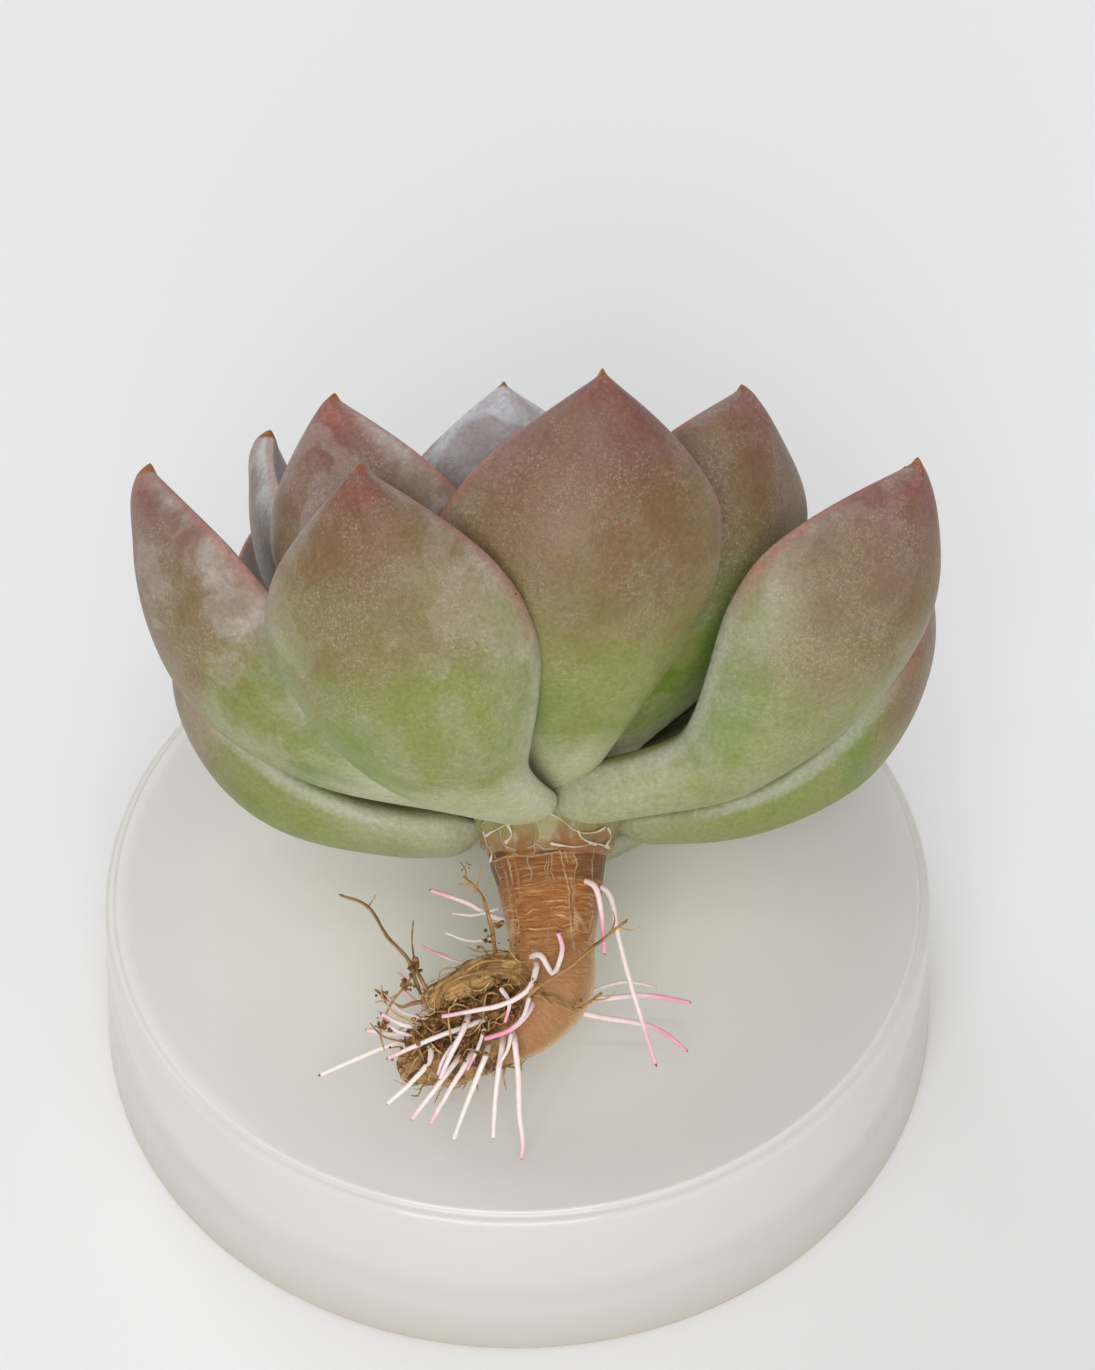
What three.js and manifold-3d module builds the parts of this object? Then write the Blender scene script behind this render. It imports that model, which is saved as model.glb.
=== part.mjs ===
// A bare-root rosette succulent lying on an upturned translucent tub.
// Millimetres and degrees. +Z is up, the tub stands on its rim at z = 0, and -Y is the front.
import * as THREE from "three";
import { mergeVertices } from "three/addons/utils/BufferGeometryUtils.js";
import Module from "manifold-3d";

const wasm = await Module();
wasm.setup();

// ---------------------------------------------------------------- driving dimensions

const GAP = 0.3; // clear space kept between pieces that touch or rest on each other
const GOLDEN_ANGLE = 137.5; // turn from one leaf to the next up the stem

const TUB = {
  topRadius: 40,
  footRadius: 41.3,
  height: 19.2,
  wall: 1.6,
  roof: 1.8,
  edgeRound: 1.7, // rounding of the closed end's outer edge
  beadHeight: 9, // middle of the bead inside the wall, above the foot
  beadDepth: 1.0,
  beadSpan: 3.2,
  footThickness: 2.4, // the rim is thicker than the wall
  footSpan: 2.6,
  sides: 64,
};

const PLANT = {
  leanBack: 55, // from upright, away from the front
  roll: 0, // sideways lean
  collarX: 2.9, // the top of the bark, seen from the middle of the tub
  collarY: -12.3,
};

const STEM = {
  collarRadius: 5.5,
  coreHeight: 15.6, // the part that carries leaves, above the collar
  coreTipRadius: 1.1,
  // From the collar down round the elbow to the cut end: x, y, z and radius, in the plant's frame.
  course: [
    [0.2, 0, -3, 4.9],
    [0.4, 0, -8, 4.0],
    [0.4, 0, -12.6, 3.7],
    [-1.2, 0.3, -15.4, 2.9],
    [-4.4, 0.8, -17.4, 2.3],
    [-8.4, 1, -19, 2.2],
    [-13.6, 0.8, -19.4, 1.6],
  ],
};

// A strip of old bark that has come away from the stem.
const FLAP = [
  [-4.9, -0.6, -11.2, 1.1],
  [-7.2, -1.2, -12, 1.5],
  [-9.2, -1.5, -13, 1.2],
  [-10.6, -1.2, -14.1, 0.8],
];

// New roots, from the stem outwards: x, y, z of each point, in the plant's frame.
const NEW_ROOTS = [
  [[-2.9, -3.1, -17.6], [-2.6, -2.6, -20.3], [-2.5, -0.6, -23.9], [-2.2, 1.2, -26.6], [-2.4, 2.2, -27.8]],
  [[-4.1, -2.4, -18.1], [-4.6, -1.5, -21.6], [-4.9, 1, -26]],
  [[-5.6, -2.4, -18.8], [-6.9, -1.6, -22], [-8.5, 1.5, -26.1]],
  [[-7, -2, -18.9], [-8.6, -1.6, -21.4], [-10.6, 0.5, -24.7]],
  [[-8.4, -1.7, -19.4], [-10.4, -1.4, -22], [-12.2, -0.4, -24.3]],
  [[-10.5, -1.6, -18.9], [-12.2, -1.8, -21], [-14.4, -0.8, -22.9]],
  [[-7.4, -3.9, -16.2], [-8.6, -4, -18.6], [-9.6, -3.4, -20.8]],
  [[-6.2, -2.2, -15.6], [-10, -2.8, -17], [-14.4, -2.3, -18.9]],
  [[-10.6, 2, -16.2], [-15.5, 2.8, -18], [-20.8, 3, -20.3]],
  [[-1, -4.3, -11], [-1.7, -4.7, -12.8], [-3.9, -4.5, -14.1], [-6.2, -3.8, -14.6], [-9.6, -3.4, -15.2]],
  [[-2, -3.9, -15.2], [-3.4, -4, -16.4], [-5.7, -3.5, -17.2]],
  [[-0.6, -4.4, -9.8], [0.5, -4.8, -11.4], [1.3, -5, -9.2], [0.9, -5.1, -7.7]],
  [[4.2, -4, -3.6], [4.8, -3.8, -5.9], [5.1, -3.3, -9.7]],
  [[5.4, -0.9, -3.9], [6.4, 0, -8], [7.8, 1.2, -13], [9.9, 3.2, -19.5]],
  [[4.5, 1.2, -13.4], [9, 3.6, -13], [13.2, 5.6, -13.6]],
  [[4.1, 1.4, -14.9], [10, 5, -16], [12.9, 7, -18]],
  [[-4.7, 2, -6], [-7.4, 2.6, -4.6], [-10.8, 3, -3.4]],
  [[-7.2, 1, -15.4], [-10.6, 1.2, -14.6], [-13.2, 0.6, -12.6]],
  [[-9, -0.4, -16.1], [-12.6, -1, -15.9], [-15, -1.3, -14.8]],
  [[-11.4, 0.4, -16.4], [-14, 0.2, -16.6], [-16.4, 0, -16.2]],
];

// Dead rootlets, thinner and brown.
const OLD_ROOTS = [
  [[-11.6, -1, -12.6], [-12.6, -0.9, -9.9], [-14.4, -0.6, -8], [-16.2, -0.2, -5.2], [-18.9, 0.4, -4]],
  [[-12.2, -0.6, -13.9], [-13.2, -0.4, -14.2], [-15.6, -0.2, -12.6]],
  [[-5.2, -1.6, -6.4], [-6, -2.4, -4.2], [-7.6, -2.8, -2.6]],
  [[-0.8, -6, -12.6], [1.8, -5.9, -11], [4.4, -4.9, -8.8], [7.2, -3.6, -6.5]],
  [[0.4, -4.2, -13.6], [2.4, -3.9, -14.6], [4.9, -2.6, -13]],
];

const ROOT = { newRadius: 0.45, oldRadius: 0.26, tipShare: 0.6, gap: 0.12, sides: 6 };

// How a leaf grows with its place up the stem: order 0 is the oldest of the front leaves.
// Its midrib runs in a plane through the stem's axis, from the stem to tip (radius, height).
const GROWTH = [
  { order: -4, tipRadius: 36, tipHeight: 19, rise: 0, curl: 86, width: 23, thickness: 6.2 },
  { order: 0, tipRadius: 38, tipHeight: 29.4, rise: 2, curl: 92, width: 25.5, thickness: 7 },
  { order: 5, tipRadius: 34.5, tipHeight: 36.8, rise: 16, curl: 94, width: 26, thickness: 6.8 },
  { order: 9, tipRadius: 28.5, tipHeight: 38.3, rise: 30, curl: 97, width: 24, thickness: 6.2 },
  { order: 14, tipRadius: 21, tipHeight: 38.4, rise: 46, curl: 100, width: 20, thickness: 5.4 },
  { order: 19, tipRadius: 13.5, tipHeight: 40, rise: 62, curl: 101, width: 14.5, thickness: 4.2 },
  { order: 24, tipRadius: 5, tipHeight: 35, rise: 78, curl: 98, width: 8.5, thickness: 3 },
];

const LEAF = {
  firstOrder: -4,
  lastOrder: 24,
  fallenOrders: [-3], // picked off: only its scar is left on the collar
  firstAzimuth: 335, // of order 0, from the front towards +X
  attachHeight: 3.2, // of order 0, above the collar
  attachStep: 0.45, // from one leaf to the next up the stem
  baseWidth: 0.25, // share of the leaf's full width
  baseThickness: 2.3,
  outerShare: 0.64, // of the thickness, on the outer face
  cup: 0.28, // how far the margins stand in, as a share of the half width
  room: 0.45, // kept clear round a leaf where an older one would press against it
  rootHandle: 0.46, // lengths of the midrib's two curve handles, as shares of its chord
  tipHandle: 0.36,
};

// Leaves that differ from the growth rule: turn moves the azimuth, reach and lift scale the tip's
// radius and height, curl bends the end inwards, girth scales the width, twist turns the blade
// about its midrib, waist over 1 narrows the lower half, widest is the share of the midrib where
// the blade is widest, a lower taper draws out the top, and bow moves the middle sideways, in mm.
const CHARACTER = {
  "-4": { turn: 4, reach: 0.83, lift: 1.13 },
  "-2": { turn: -4, lift: 0.98 },
  "-1": { reach: 1.01, lift: 1.13 },
  0: { turn: 1.5, lift: 0.98, girth: 0.96, waist: 1.2, bow: -0.5 },
  1: { reach: 0.93, lift: 1.05 },
  2: {
    turn: -4.5, reach: 1.05, lift: 0.985, curl: -15, girth: 0.84, twist: -14, waist: 1.3, widest: 0.66,
    taper: 2.1, bow: -1.5,
  },
  3: { turn: 2, reach: 1.02, twist: 3 },
  4: { reach: 0.95, lift: 1.05 },
  5: { girth: 0.95, waist: 1.5, bow: -1.4 },
  7: { reach: 1.05, lift: 0.95, girth: 0.9 },
  8: { turn: 8, lift: 0.975, girth: 0.93 },
  10: { turn: -2 },
  11: { reach: 1.02, lift: 1.03 },
  13: { turn: 3 },
  16: { lift: 0.97 },
  19: { lift: 0.94 },
};

// ---------------------------------------------------------------- shapes

const rad = THREE.MathUtils.degToRad;
const lerp = THREE.MathUtils.lerp;
const smoothstep = THREE.MathUtils.smoothstep;

// A closed body made by moving the points of a sphere: place(along, around) gives each point,
// with along 0 to 1 from pole to pole and around 0 to 1 about the body.
function body(aroundSteps, alongSteps, place) {
  const geometry = new THREE.SphereGeometry(1, aroundSteps, alongSteps);
  const uv = geometry.getAttribute("uv");
  const position = geometry.getAttribute("position");
  for (let i = 0; i < position.count; i++) {
    const along = Math.round((1 - uv.getY(i)) * alongSteps) / alongSteps;
    const around = Math.atan2(position.getZ(i), position.getX(i)) / (2 * Math.PI);
    const point = place(along, along === 0 || along === 1 ? 0 : around);
    position.setXYZ(i, point.x, point.y, point.z);
  }
  return geometry;
}

// A rod along a smooth course of stations, each x, y, z and radius.
function rod(stations, aroundSteps, alongSteps) {
  const curve = new THREE.CatmullRomCurve3(stations.map(([x, y, z]) => new THREE.Vector3(x, y, z)));
  const rings = alongSteps - 2;
  const frames = curve.computeFrenetFrames(rings);
  return body(aroundSteps, alongSteps, (along, around) => {
    const ring = THREE.MathUtils.clamp(Math.round(along * alongSteps) - 1, 0, rings);
    const centre = curve.getPointAt(ring / rings);
    if (along === 0 || along === 1) return centre.addScaledVector(frames.tangents[ring], along ? 0.1 : -0.1);
    const place = curve.getUtoTmapping(ring / rings) * (stations.length - 1);
    const before = Math.min(Math.floor(place), stations.length - 2);
    const radius = lerp(stations[before][3], stations[before + 1][3], place - before);
    const turn = 2 * Math.PI * around;
    return centre
      .addScaledVector(frames.normals[ring], radius * Math.cos(turn))
      .addScaledVector(frames.binormals[ring], radius * Math.sin(turn));
  });
}

// The values of the growth rule at one leaf's order.
function grown(order) {
  const next = Math.max(1, GROWTH.findIndex((stage) => stage.order >= order));
  const [a, b] = [GROWTH[next - 1], GROWTH[next]];
  const share = (order - a.order) / (b.order - a.order);
  return Object.fromEntries(Object.keys(a).map((key) => [key, lerp(a[key], b[key], share)]));
}

// Radius of the stem inside the rosette, at a height above the collar.
function coreRadius(height) {
  const share = THREE.MathUtils.clamp(height / STEM.coreHeight, 0, 1);
  return lerp(STEM.collarRadius, STEM.coreTipRadius, share ** 1.6);
}

// A leaf's width at a share of its length, against its full width: a narrow foot, widest past
// the middle, and a short point.
function leafOutline(share, { waist, widest, taper }) {
  const swell = lerp(LEAF.baseWidth, 1, smoothstep(share, 0, widest) ** waist);
  const past = Math.max(0, (share - widest) / (1 - widest));
  return swell * (1 - past ** taper);
}

function leafThickness(share, thickness) {
  const swell = lerp(LEAF.baseThickness, thickness, smoothstep(share, 0, 0.5));
  return swell * (1 - 0.55 * smoothstep(share, 0.5, 0.92)) * (1 - share ** 10);
}

// One leaf, in the plant's frame. grow adds that much all round it.
function leafGeometry(order, grow = 0) {
  const age = grown(order);
  const own = {
    turn: 0, reach: 1, lift: 1, curl: 0, girth: 1, twist: 0, waist: 1, widest: 0.62, taper: 2.3, bow: 0,
    ...CHARACTER[order],
  };
  const attach = LEAF.attachHeight + LEAF.attachStep * order;
  const foot = new THREE.Vector2(coreRadius(attach) + GAP + 0.2, attach);
  const tip = new THREE.Vector2(age.tipRadius * own.reach, age.tipHeight * own.lift);
  const chord = foot.distanceTo(tip);
  const heading = (angle) => new THREE.Vector2(Math.cos(rad(angle)), Math.sin(rad(angle)));
  const midrib = new THREE.CubicBezierCurve(
    foot,
    foot.clone().addScaledVector(heading(age.rise), chord * LEAF.rootHandle),
    tip.clone().addScaledVector(heading(age.curl + own.curl), -chord * LEAF.tipHandle),
    tip,
  );
  const azimuth = rad(LEAF.firstAzimuth - GOLDEN_ANGLE * order + own.turn);
  const outward = new THREE.Vector3(Math.sin(azimuth), -Math.cos(azimuth), 0);
  const across = new THREE.Vector3(Math.cos(azimuth), Math.sin(azimuth), 0);
  const steps = order < 11 ? [12, 11] : [10, 8];
  return body(...steps, (along, around) => {
    const ring = Math.round(along * steps[1]);
    const share = THREE.MathUtils.clamp((ring - 1) / (steps[1] - 1), 0, 1);
    const centre = midrib.getPointAt(share);
    const tangent = midrib.getTangentAt(share);
    const inward = new THREE.Vector2(-tangent.y, tangent.x);
    if (along === 0) centre.addScaledVector(tangent, -0.2 - grow);
    if (along === 1) centre.addScaledVector(tangent, grow);
    let lateral = 0;
    if (along > 0 && along < 1) {
      const halfWidth = (leafOutline(share, own) * age.width * own.girth) / 2;
      const thick = leafThickness(share, age.thickness);
      const turn = 2 * Math.PI * around;
      const side = Math.sin(turn) > 0 ? 1 - LEAF.outerShare : LEAF.outerShare;
      const cup = LEAF.cup * halfWidth * smoothstep(share, 0.15, 0.6) * Math.cos(turn) ** 2;
      const sideways = (halfWidth + grow) * Math.cos(turn);
      const depth = (thick * side + grow) * Math.sin(turn) + cup;
      const twist = rad(own.twist) * smoothstep(share, 0, 0.6);
      lateral = sideways * Math.cos(twist) - depth * Math.sin(twist);
      lateral += own.bow * Math.sin(Math.PI * smoothstep(share, 0.05, 1));
      centre.addScaledVector(inward, depth * Math.cos(twist) + sideways * Math.sin(twist));
    }
    return new THREE.Vector3(0, 0, centre.y)
      .addScaledVector(outward, centre.x)
      .addScaledVector(across, lateral);
  });
}

// ---------------------------------------------------------------- solids and cuts

function solid(geometry) {
  const bare = geometry.index ? geometry.toNonIndexed() : geometry.clone();
  bare.deleteAttribute("normal");
  bare.deleteAttribute("uv");
  const merged = mergeVertices(bare, 1e-4);
  return new wasm.Manifold(
    new wasm.Mesh({
      numProp: 3,
      vertProperties: merged.attributes.position.array,
      triVerts: new Uint32Array(merged.index.array),
    }),
  );
}

function geometryOf(manifold) {
  const mesh = manifold.getMesh();
  const geometry = new THREE.BufferGeometry();
  geometry.setAttribute("position", new THREE.BufferAttribute(mesh.vertProperties, 3));
  geometry.setIndex(new THREE.BufferAttribute(mesh.triVerts, 1));
  return geometry;
}

// A cut can leave crumbs: the piece is the largest body.
function largest(manifold) {
  return manifold.decompose().reduce((a, b) => (b.volume() > a.volume() ? b : a));
}

// The piece with its neighbours' room cut out of it.
function fitted(geometry, rooms) {
  let piece = solid(geometry);
  let cut = false;
  for (const room of rooms) {
    if (piece.intersect(room).volume() < 1e-6) continue;
    piece = largest(piece.subtract(room));
    cut = true;
  }
  return cut ? geometryOf(piece) : geometry;
}

// ---------------------------------------------------------------- materials

const paint = (color, roughness) => new THREE.MeshStandardMaterial({ color, roughness, metalness: 0 });
const frosted = new THREE.MeshStandardMaterial({
  color: 0xdcdcd8,
  roughness: 0.45,
  metalness: 0,
  transparent: true,
  opacity: 0.85,
});
const leafFlesh = paint(0x9fae82, 0.6);
const bark = paint(0xa56a3a, 0.7);
const newRoot = paint(0xf0dfe0, 0.5);
const deadRoot = paint(0x8a5a30, 0.8);

function piece(name, geometry, material) {
  const mesh = new THREE.Mesh(geometry, material);
  mesh.name = name;
  return mesh;
}

// ---------------------------------------------------------------- the tub

function tubGeometry() {
  const { topRadius, footRadius, height, wall, roof, edgeRound } = TUB;
  const { beadHeight, beadDepth, beadSpan, footThickness, footSpan } = TUB;
  const outer = (z) => lerp(footRadius, topRadius, z / height);
  const inner = (z) => outer(z) - wall;
  const profile = [[0, height]];
  for (let step = 0; step <= 4; step++) {
    const turn = rad(90 - (90 * step) / 4);
    profile.push([
      topRadius - edgeRound + edgeRound * Math.cos(turn),
      height - edgeRound + edgeRound * Math.sin(turn),
    ]);
  }
  profile.push([footRadius, 0]);
  profile.push([footRadius - footThickness, 0]);
  profile.push([inner(footSpan) - (footThickness - wall), footSpan]);
  profile.push([inner(footSpan + 1), footSpan + 1]);
  profile.push([inner(beadHeight - beadSpan / 2), beadHeight - beadSpan / 2]);
  profile.push([inner(beadHeight) - beadDepth, beadHeight]);
  profile.push([inner(beadHeight + beadSpan / 2), beadHeight + beadSpan / 2]);
  profile.push([inner(height - roof) - 0.6, height - roof]);
  profile.push([0, height - roof]);
  const points = profile.map(([r, z]) => new THREE.Vector2(r, z)).reverse();
  return new THREE.LatheGeometry(points, TUB.sides).rotateX(Math.PI / 2);
}

// ---------------------------------------------------------------- the plant

function stemGeometry(grow = 0) {
  const core = [1, 0.75, 0.5, 0.25, 0].map((share) => {
    const height = share * STEM.coreHeight;
    return [0, 0, height, coreRadius(height)];
  });
  return rod([...core, ...STEM.course].map(([x, y, z, radius]) => [x, y, z, radius + grow]), 16, 22);
}

function flapGeometry(grow = 0) {
  return rod(FLAP.map(([x, y, z, radius]) => [x, y, z, radius + grow]), 10, 8);
}

function rootGeometry(course, radius, grow = 0) {
  const last = course.length - 1;
  const thickness = (i) => radius * lerp(1, ROOT.tipShare, i / last) + grow;
  return rod(course.map((point, i) => [...point, thickness(i)]), ROOT.sides, 3 + 2 * last);
}

const plant = new THREE.Group();
const stemRoom = solid(stemGeometry(GAP));
plant.add(piece("stem", stemGeometry(), bark));

const orders = [];
for (let order = LEAF.firstOrder; order <= LEAF.lastOrder; order++) {
  if (!LEAF.fallenOrders.includes(order)) orders.push(order);
}
const leafRooms = new Map(orders.map((order) => [order, solid(leafGeometry(order, LEAF.room))]));
orders.forEach((order, i) => {
  const younger = orders.slice(i + 1).map((other) => leafRooms.get(other));
  const name = `leaf_${String(i + 1).padStart(2, "0")}`;
  plant.add(piece(name, fitted(leafGeometry(order), [stemRoom, ...younger]), leafFlesh));
});

plant.add(piece("bark_flap", fitted(flapGeometry(), [stemRoom]), bark));
const rootRooms = [stemRoom, solid(flapGeometry(GAP))];
function addRoot(name, course, radius, material) {
  plant.add(piece(name, fitted(rootGeometry(course, radius), rootRooms), material));
  rootRooms.push(solid(rootGeometry(course, radius, ROOT.gap)));
}
NEW_ROOTS.forEach((course, i) => {
  addRoot(`new_root_${String(i + 1).padStart(2, "0")}`, course, ROOT.newRadius, newRoot);
});
OLD_ROOTS.forEach((course, i) => addRoot(`old_root_${i + 1}`, course, ROOT.oldRadius, deadRoot));

// The plant lies back until its lowest point stands the gap above the tub.
plant.rotation.set(-rad(PLANT.leanBack), rad(PLANT.roll), 0);
const lowest = new THREE.Box3().setFromObject(plant, true).min.z;
plant.position.set(PLANT.collarX, PLANT.collarY, TUB.height + GAP - lowest);

// ---------------------------------------------------------------- together

const root = new THREE.Group();
root.add(piece("tub", tubGeometry(), frosted));
root.add(plant);

export default root;
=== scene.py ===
import math
import random

import bmesh
import bpy
from mathutils import Matrix, Vector, noise


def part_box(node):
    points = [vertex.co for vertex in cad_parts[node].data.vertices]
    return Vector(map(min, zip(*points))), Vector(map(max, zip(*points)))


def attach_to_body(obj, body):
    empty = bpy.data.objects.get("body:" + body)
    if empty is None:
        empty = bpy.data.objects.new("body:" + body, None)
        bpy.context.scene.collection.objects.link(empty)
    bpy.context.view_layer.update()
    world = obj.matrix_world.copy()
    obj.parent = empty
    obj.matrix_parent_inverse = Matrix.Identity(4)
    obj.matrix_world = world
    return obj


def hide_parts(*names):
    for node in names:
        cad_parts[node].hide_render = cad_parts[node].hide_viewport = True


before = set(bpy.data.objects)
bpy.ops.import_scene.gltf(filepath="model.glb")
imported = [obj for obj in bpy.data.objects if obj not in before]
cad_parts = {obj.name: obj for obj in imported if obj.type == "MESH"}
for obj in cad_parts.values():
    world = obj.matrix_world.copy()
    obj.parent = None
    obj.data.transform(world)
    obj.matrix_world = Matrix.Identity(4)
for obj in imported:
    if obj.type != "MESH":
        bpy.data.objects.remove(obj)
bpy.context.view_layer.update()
tubLow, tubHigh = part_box("tub")
print("frame loaded:", len(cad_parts), "nodes")

mm = 0.001


def blend(a, b, share):
    return a + (b - a) * share


def clamp(value, low=0.0, high=1.0):
    return max(low, min(high, value))


def smoothStep(value, low, high):
    share = clamp((value - low) / (high - low))
    return share * share * (3 - 2 * share)


def colour(code):  # a paint-chart colour, as Blender's linear values
    parts = [int(code[i:i + 2], 16) / 255 for i in (0, 2, 4)]
    return tuple(c / 12.92 if c <= 0.04045 else ((c + 0.055) / 1.055) ** 2.4 for c in parts) + (1.0,)


def setInputs(tree, made, values):  # a socket is linked, a plain value is set
    for name, value in values.items():
        if isinstance(value, bpy.types.NodeSocket):
            tree.links.new(value, made.inputs[name])
        else:
            made.inputs[name].default_value = value


def node(tree, kind, inputs=None, **settings):
    made = tree.nodes.new(kind)
    for name, value in settings.items():
        setattr(made, name, value)
    setInputs(tree, made, inputs or {})
    return made


def maths(tree, operation, a, b=0.0, c=0.0, clamped=False):
    inputs = {0: a, 1: b, 2: c}
    return node(tree, "ShaderNodeMath", inputs, operation=operation, use_clamp=clamped).outputs[0]


def times(tree, first, *others):
    for other in others:
        first = maths(tree, "MULTIPLY", first, other)
    return first


def mixed(tree, share, a, b, mode="MIX"):
    made = node(tree, "ShaderNodeMix", {0: share, 6: a, 7: b}, data_type="RGBA", blend_type=mode)
    return made.outputs[2]


def between(tree, value, low, high, start=0.0, end=1.0):
    inputs = {0: value, 1: low, 2: high, 3: start, 4: end}
    return node(tree, "ShaderNodeMapRange", inputs, interpolation_type="SMOOTHSTEP").outputs[0]


def ramp(tree, value, stops):
    made = node(tree, "ShaderNodeValToRGB", {0: value})
    elements = made.color_ramp.elements
    while len(elements) < len(stops):
        elements.new(0.5)
    for element, (place, shade) in zip(elements, stops):
        element.position = place
        element.color = shade
    return made.outputs[0]


def objectPlace(tree):
    return node(tree, "ShaderNodeTexCoord").outputs["Object"]


def attribute(tree, name):  # the four values that a vertex colour holds
    stored = node(tree, "ShaderNodeAttribute", attribute_name=name).outputs
    parts = node(tree, "ShaderNodeSeparateColor", {0: stored["Color"]}).outputs
    return parts[0], parts[1], parts[2], stored["Alpha"]


def noiseOf(tree, vector, scale, detail, roughness=0.5, seed=None, distortion=0.0):
    inputs = {"Vector": vector, "Scale": scale, "Detail": detail, "Roughness": roughness,
              "Distortion": distortion}
    if seed is None:
        return node(tree, "ShaderNodeTexNoise", inputs).outputs
    inputs["W"] = seed
    return node(tree, "ShaderNodeTexNoise", inputs, noise_dimensions="4D").outputs


def stretched(tree, vector, scale):
    return node(tree, "ShaderNodeMapping", {"Vector": vector, "Scale": scale}).outputs[0]


def relief(tree, height, strength, distance):
    bump = node(tree, "ShaderNodeBump", {"Strength": strength, "Distance": distance, "Height": height})
    return bump.outputs[0]


def newMaterial(name):
    material = bpy.data.materials.new(name)
    material.use_nodes = True
    tree = material.node_tree
    return material, tree, tree.nodes["Principled BSDF"]


def newGroup(name, values, outputs):  # a shared effect, read at a place, with values of its own
    group = bpy.data.node_groups.new(name, "ShaderNodeTree")
    group.interface.new_socket("Vector", in_out="INPUT", socket_type="NodeSocketVector")
    for socketName, value in values.items():
        socket = group.interface.new_socket(socketName, in_out="INPUT", socket_type="NodeSocketFloat")
        socket.default_value = value
    for socketName in outputs:
        group.interface.new_socket(socketName, in_out="OUTPUT", socket_type="NodeSocketFloat")
    given = group.nodes.new("NodeGroupInput").outputs
    return group, given, group.nodes.new("NodeGroupOutput")


def useGroup(tree, group, place, values):
    return node(tree, "ShaderNodeGroup", {"Vector": place, **values}, node_tree=group).outputs


def finishPiece(bm, name, material, nodes=()):
    bmesh.ops.recalc_face_normals(bm, faces=bm.faces)
    for face in bm.faces:
        face.smooth = True
    mesh = bpy.data.meshes.new(name)
    bm.to_mesh(mesh)
    bm.free()
    piece = bpy.data.objects.new(name, mesh)
    bpy.context.scene.collection.objects.link(piece)
    mesh.materials.append(material)
    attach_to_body(piece, "root")
    if nodes:
        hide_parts(*nodes)


def makeGrain():  # fine even grain: a shade around 1 and a height
    group, given, end = newGroup("fineGrain", {"Size": 0.4, "Contrast": 0.1}, ["Shade", "Height"])
    scale = maths(group, "DIVIDE", 1 / mm, given["Size"])
    fine = noiseOf(group, given["Vector"], scale, 3.0, 0.6)[0]
    centred = maths(group, "SUBTRACT", fine, 0.5)
    shade = maths(group, "MULTIPLY_ADD", centred, given["Contrast"], 1.0)
    setInputs(group, end, {"Shade": shade, "Height": fine})
    return group


def makePatches():  # soft irregular patches, each piece with its own pattern
    group, given, end = newGroup(
        "softPatches", {"Size": 8.0, "Seed": 0.0, "Level": 0.5, "Softness": 0.08}, ["Mask"])
    scale = maths(group, "DIVIDE", 1 / mm, given["Size"])
    blotches = noiseOf(group, given["Vector"], scale, 5.0, 0.58, given["Seed"], 0.5)[0]
    low = maths(group, "SUBTRACT", given["Level"], given["Softness"])
    high = maths(group, "ADD", given["Level"], given["Softness"])
    setInputs(group, end, {"Mask": between(group, blotches, low, high)})
    return group


def makeSpecks():  # scattered small spots
    group, given, end = newGroup(
        "scatteredSpecks", {"Spacing": 5.0, "Size": 0.05, "Share": 0.4}, ["Mask"])
    scale = maths(group, "DIVIDE", 1 / mm, given["Spacing"])
    cells = node(group, "ShaderNodeTexVoronoi", {"Vector": given["Vector"], "Scale": scale}).outputs
    chosen = node(group, "ShaderNodeSeparateColor", {0: cells["Color"]}).outputs
    radius = maths(group, "MULTIPLY", chosen[1], given["Size"])
    spot = maths(group, "LESS_THAN", cells["Distance"], radius)
    kept = maths(group, "LESS_THAN", chosen[0], given["Share"])
    setInputs(group, end, {"Mask": times(group, spot, kept)})
    return group


grain = makeGrain()
patches = makePatches()
specks = makeSpecks()


def grained(tree, skin, place, size, contrast):  # the skin shaded by fine grain, and the grain's height
    fine = useGroup(tree, grain, place, {"Size": size, "Contrast": contrast})
    return mixed(tree, 1.0, skin, fine["Shade"], "MULTIPLY"), fine["Height"]


print("shared effects ready")


leafFinish = {
    "stops": [  # outer face from its foot to its tip
        (0.0, colour("999972")), (0.1, colour("878a54")), (0.26, colour("7c8640")),
        (0.42, colour("7a803a")), (0.53, colour("79713a")), (0.64, colour("745c35")),
        (0.76, colour("725037")), (0.9, colour("774e46")), (1.0, colour("955648"))],
    "deepGreen": colour("627b1c"),  # where nothing dulls it
    "scar": colour("67532f"),
    "bloom": colour("c0bab4"),
    "youngBloom": colour("bcc0c6"),
    "footFilm": colour("b7b894"),
    "granule": colour("c8bea6"),
    "margin": colour("a3625a"),
    "edgeFilm": colour("b4b5a5"),
    "tip": colour("8a4f24"),
    "speck": colour("4a2f25"),
    "blush": colour("8c3a3c"),
}


def makeRubs():  # fine curved lines where something brushed the surface
    group, given, end = newGroup("brushedLines", {"Size": 6.0, "Seed": 0.0, "Level": 0.8}, ["Mask"])
    place, seed = given["Vector"], given["Seed"]
    scale = maths(group, "DIVIDE", 1 / mm, given["Size"])
    ridges = noiseOf(group, place, scale, 2.0, 0.5, seed, 0.8)[0]
    line = maths(group, "ABSOLUTE", maths(group, "SUBTRACT", ridges, 0.5))
    thin = between(group, line, 0.009, 0.0015)
    gate = noiseOf(group, place, times(group, scale, 0.55), 1.0, 0.5, seed)[0]
    shown = between(group, gate, given["Level"], maths(group, "ADD", given["Level"], 0.05))
    setInputs(group, end, {"Mask": times(group, thin, shown)})
    return group


rubs = makeRubs()


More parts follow.
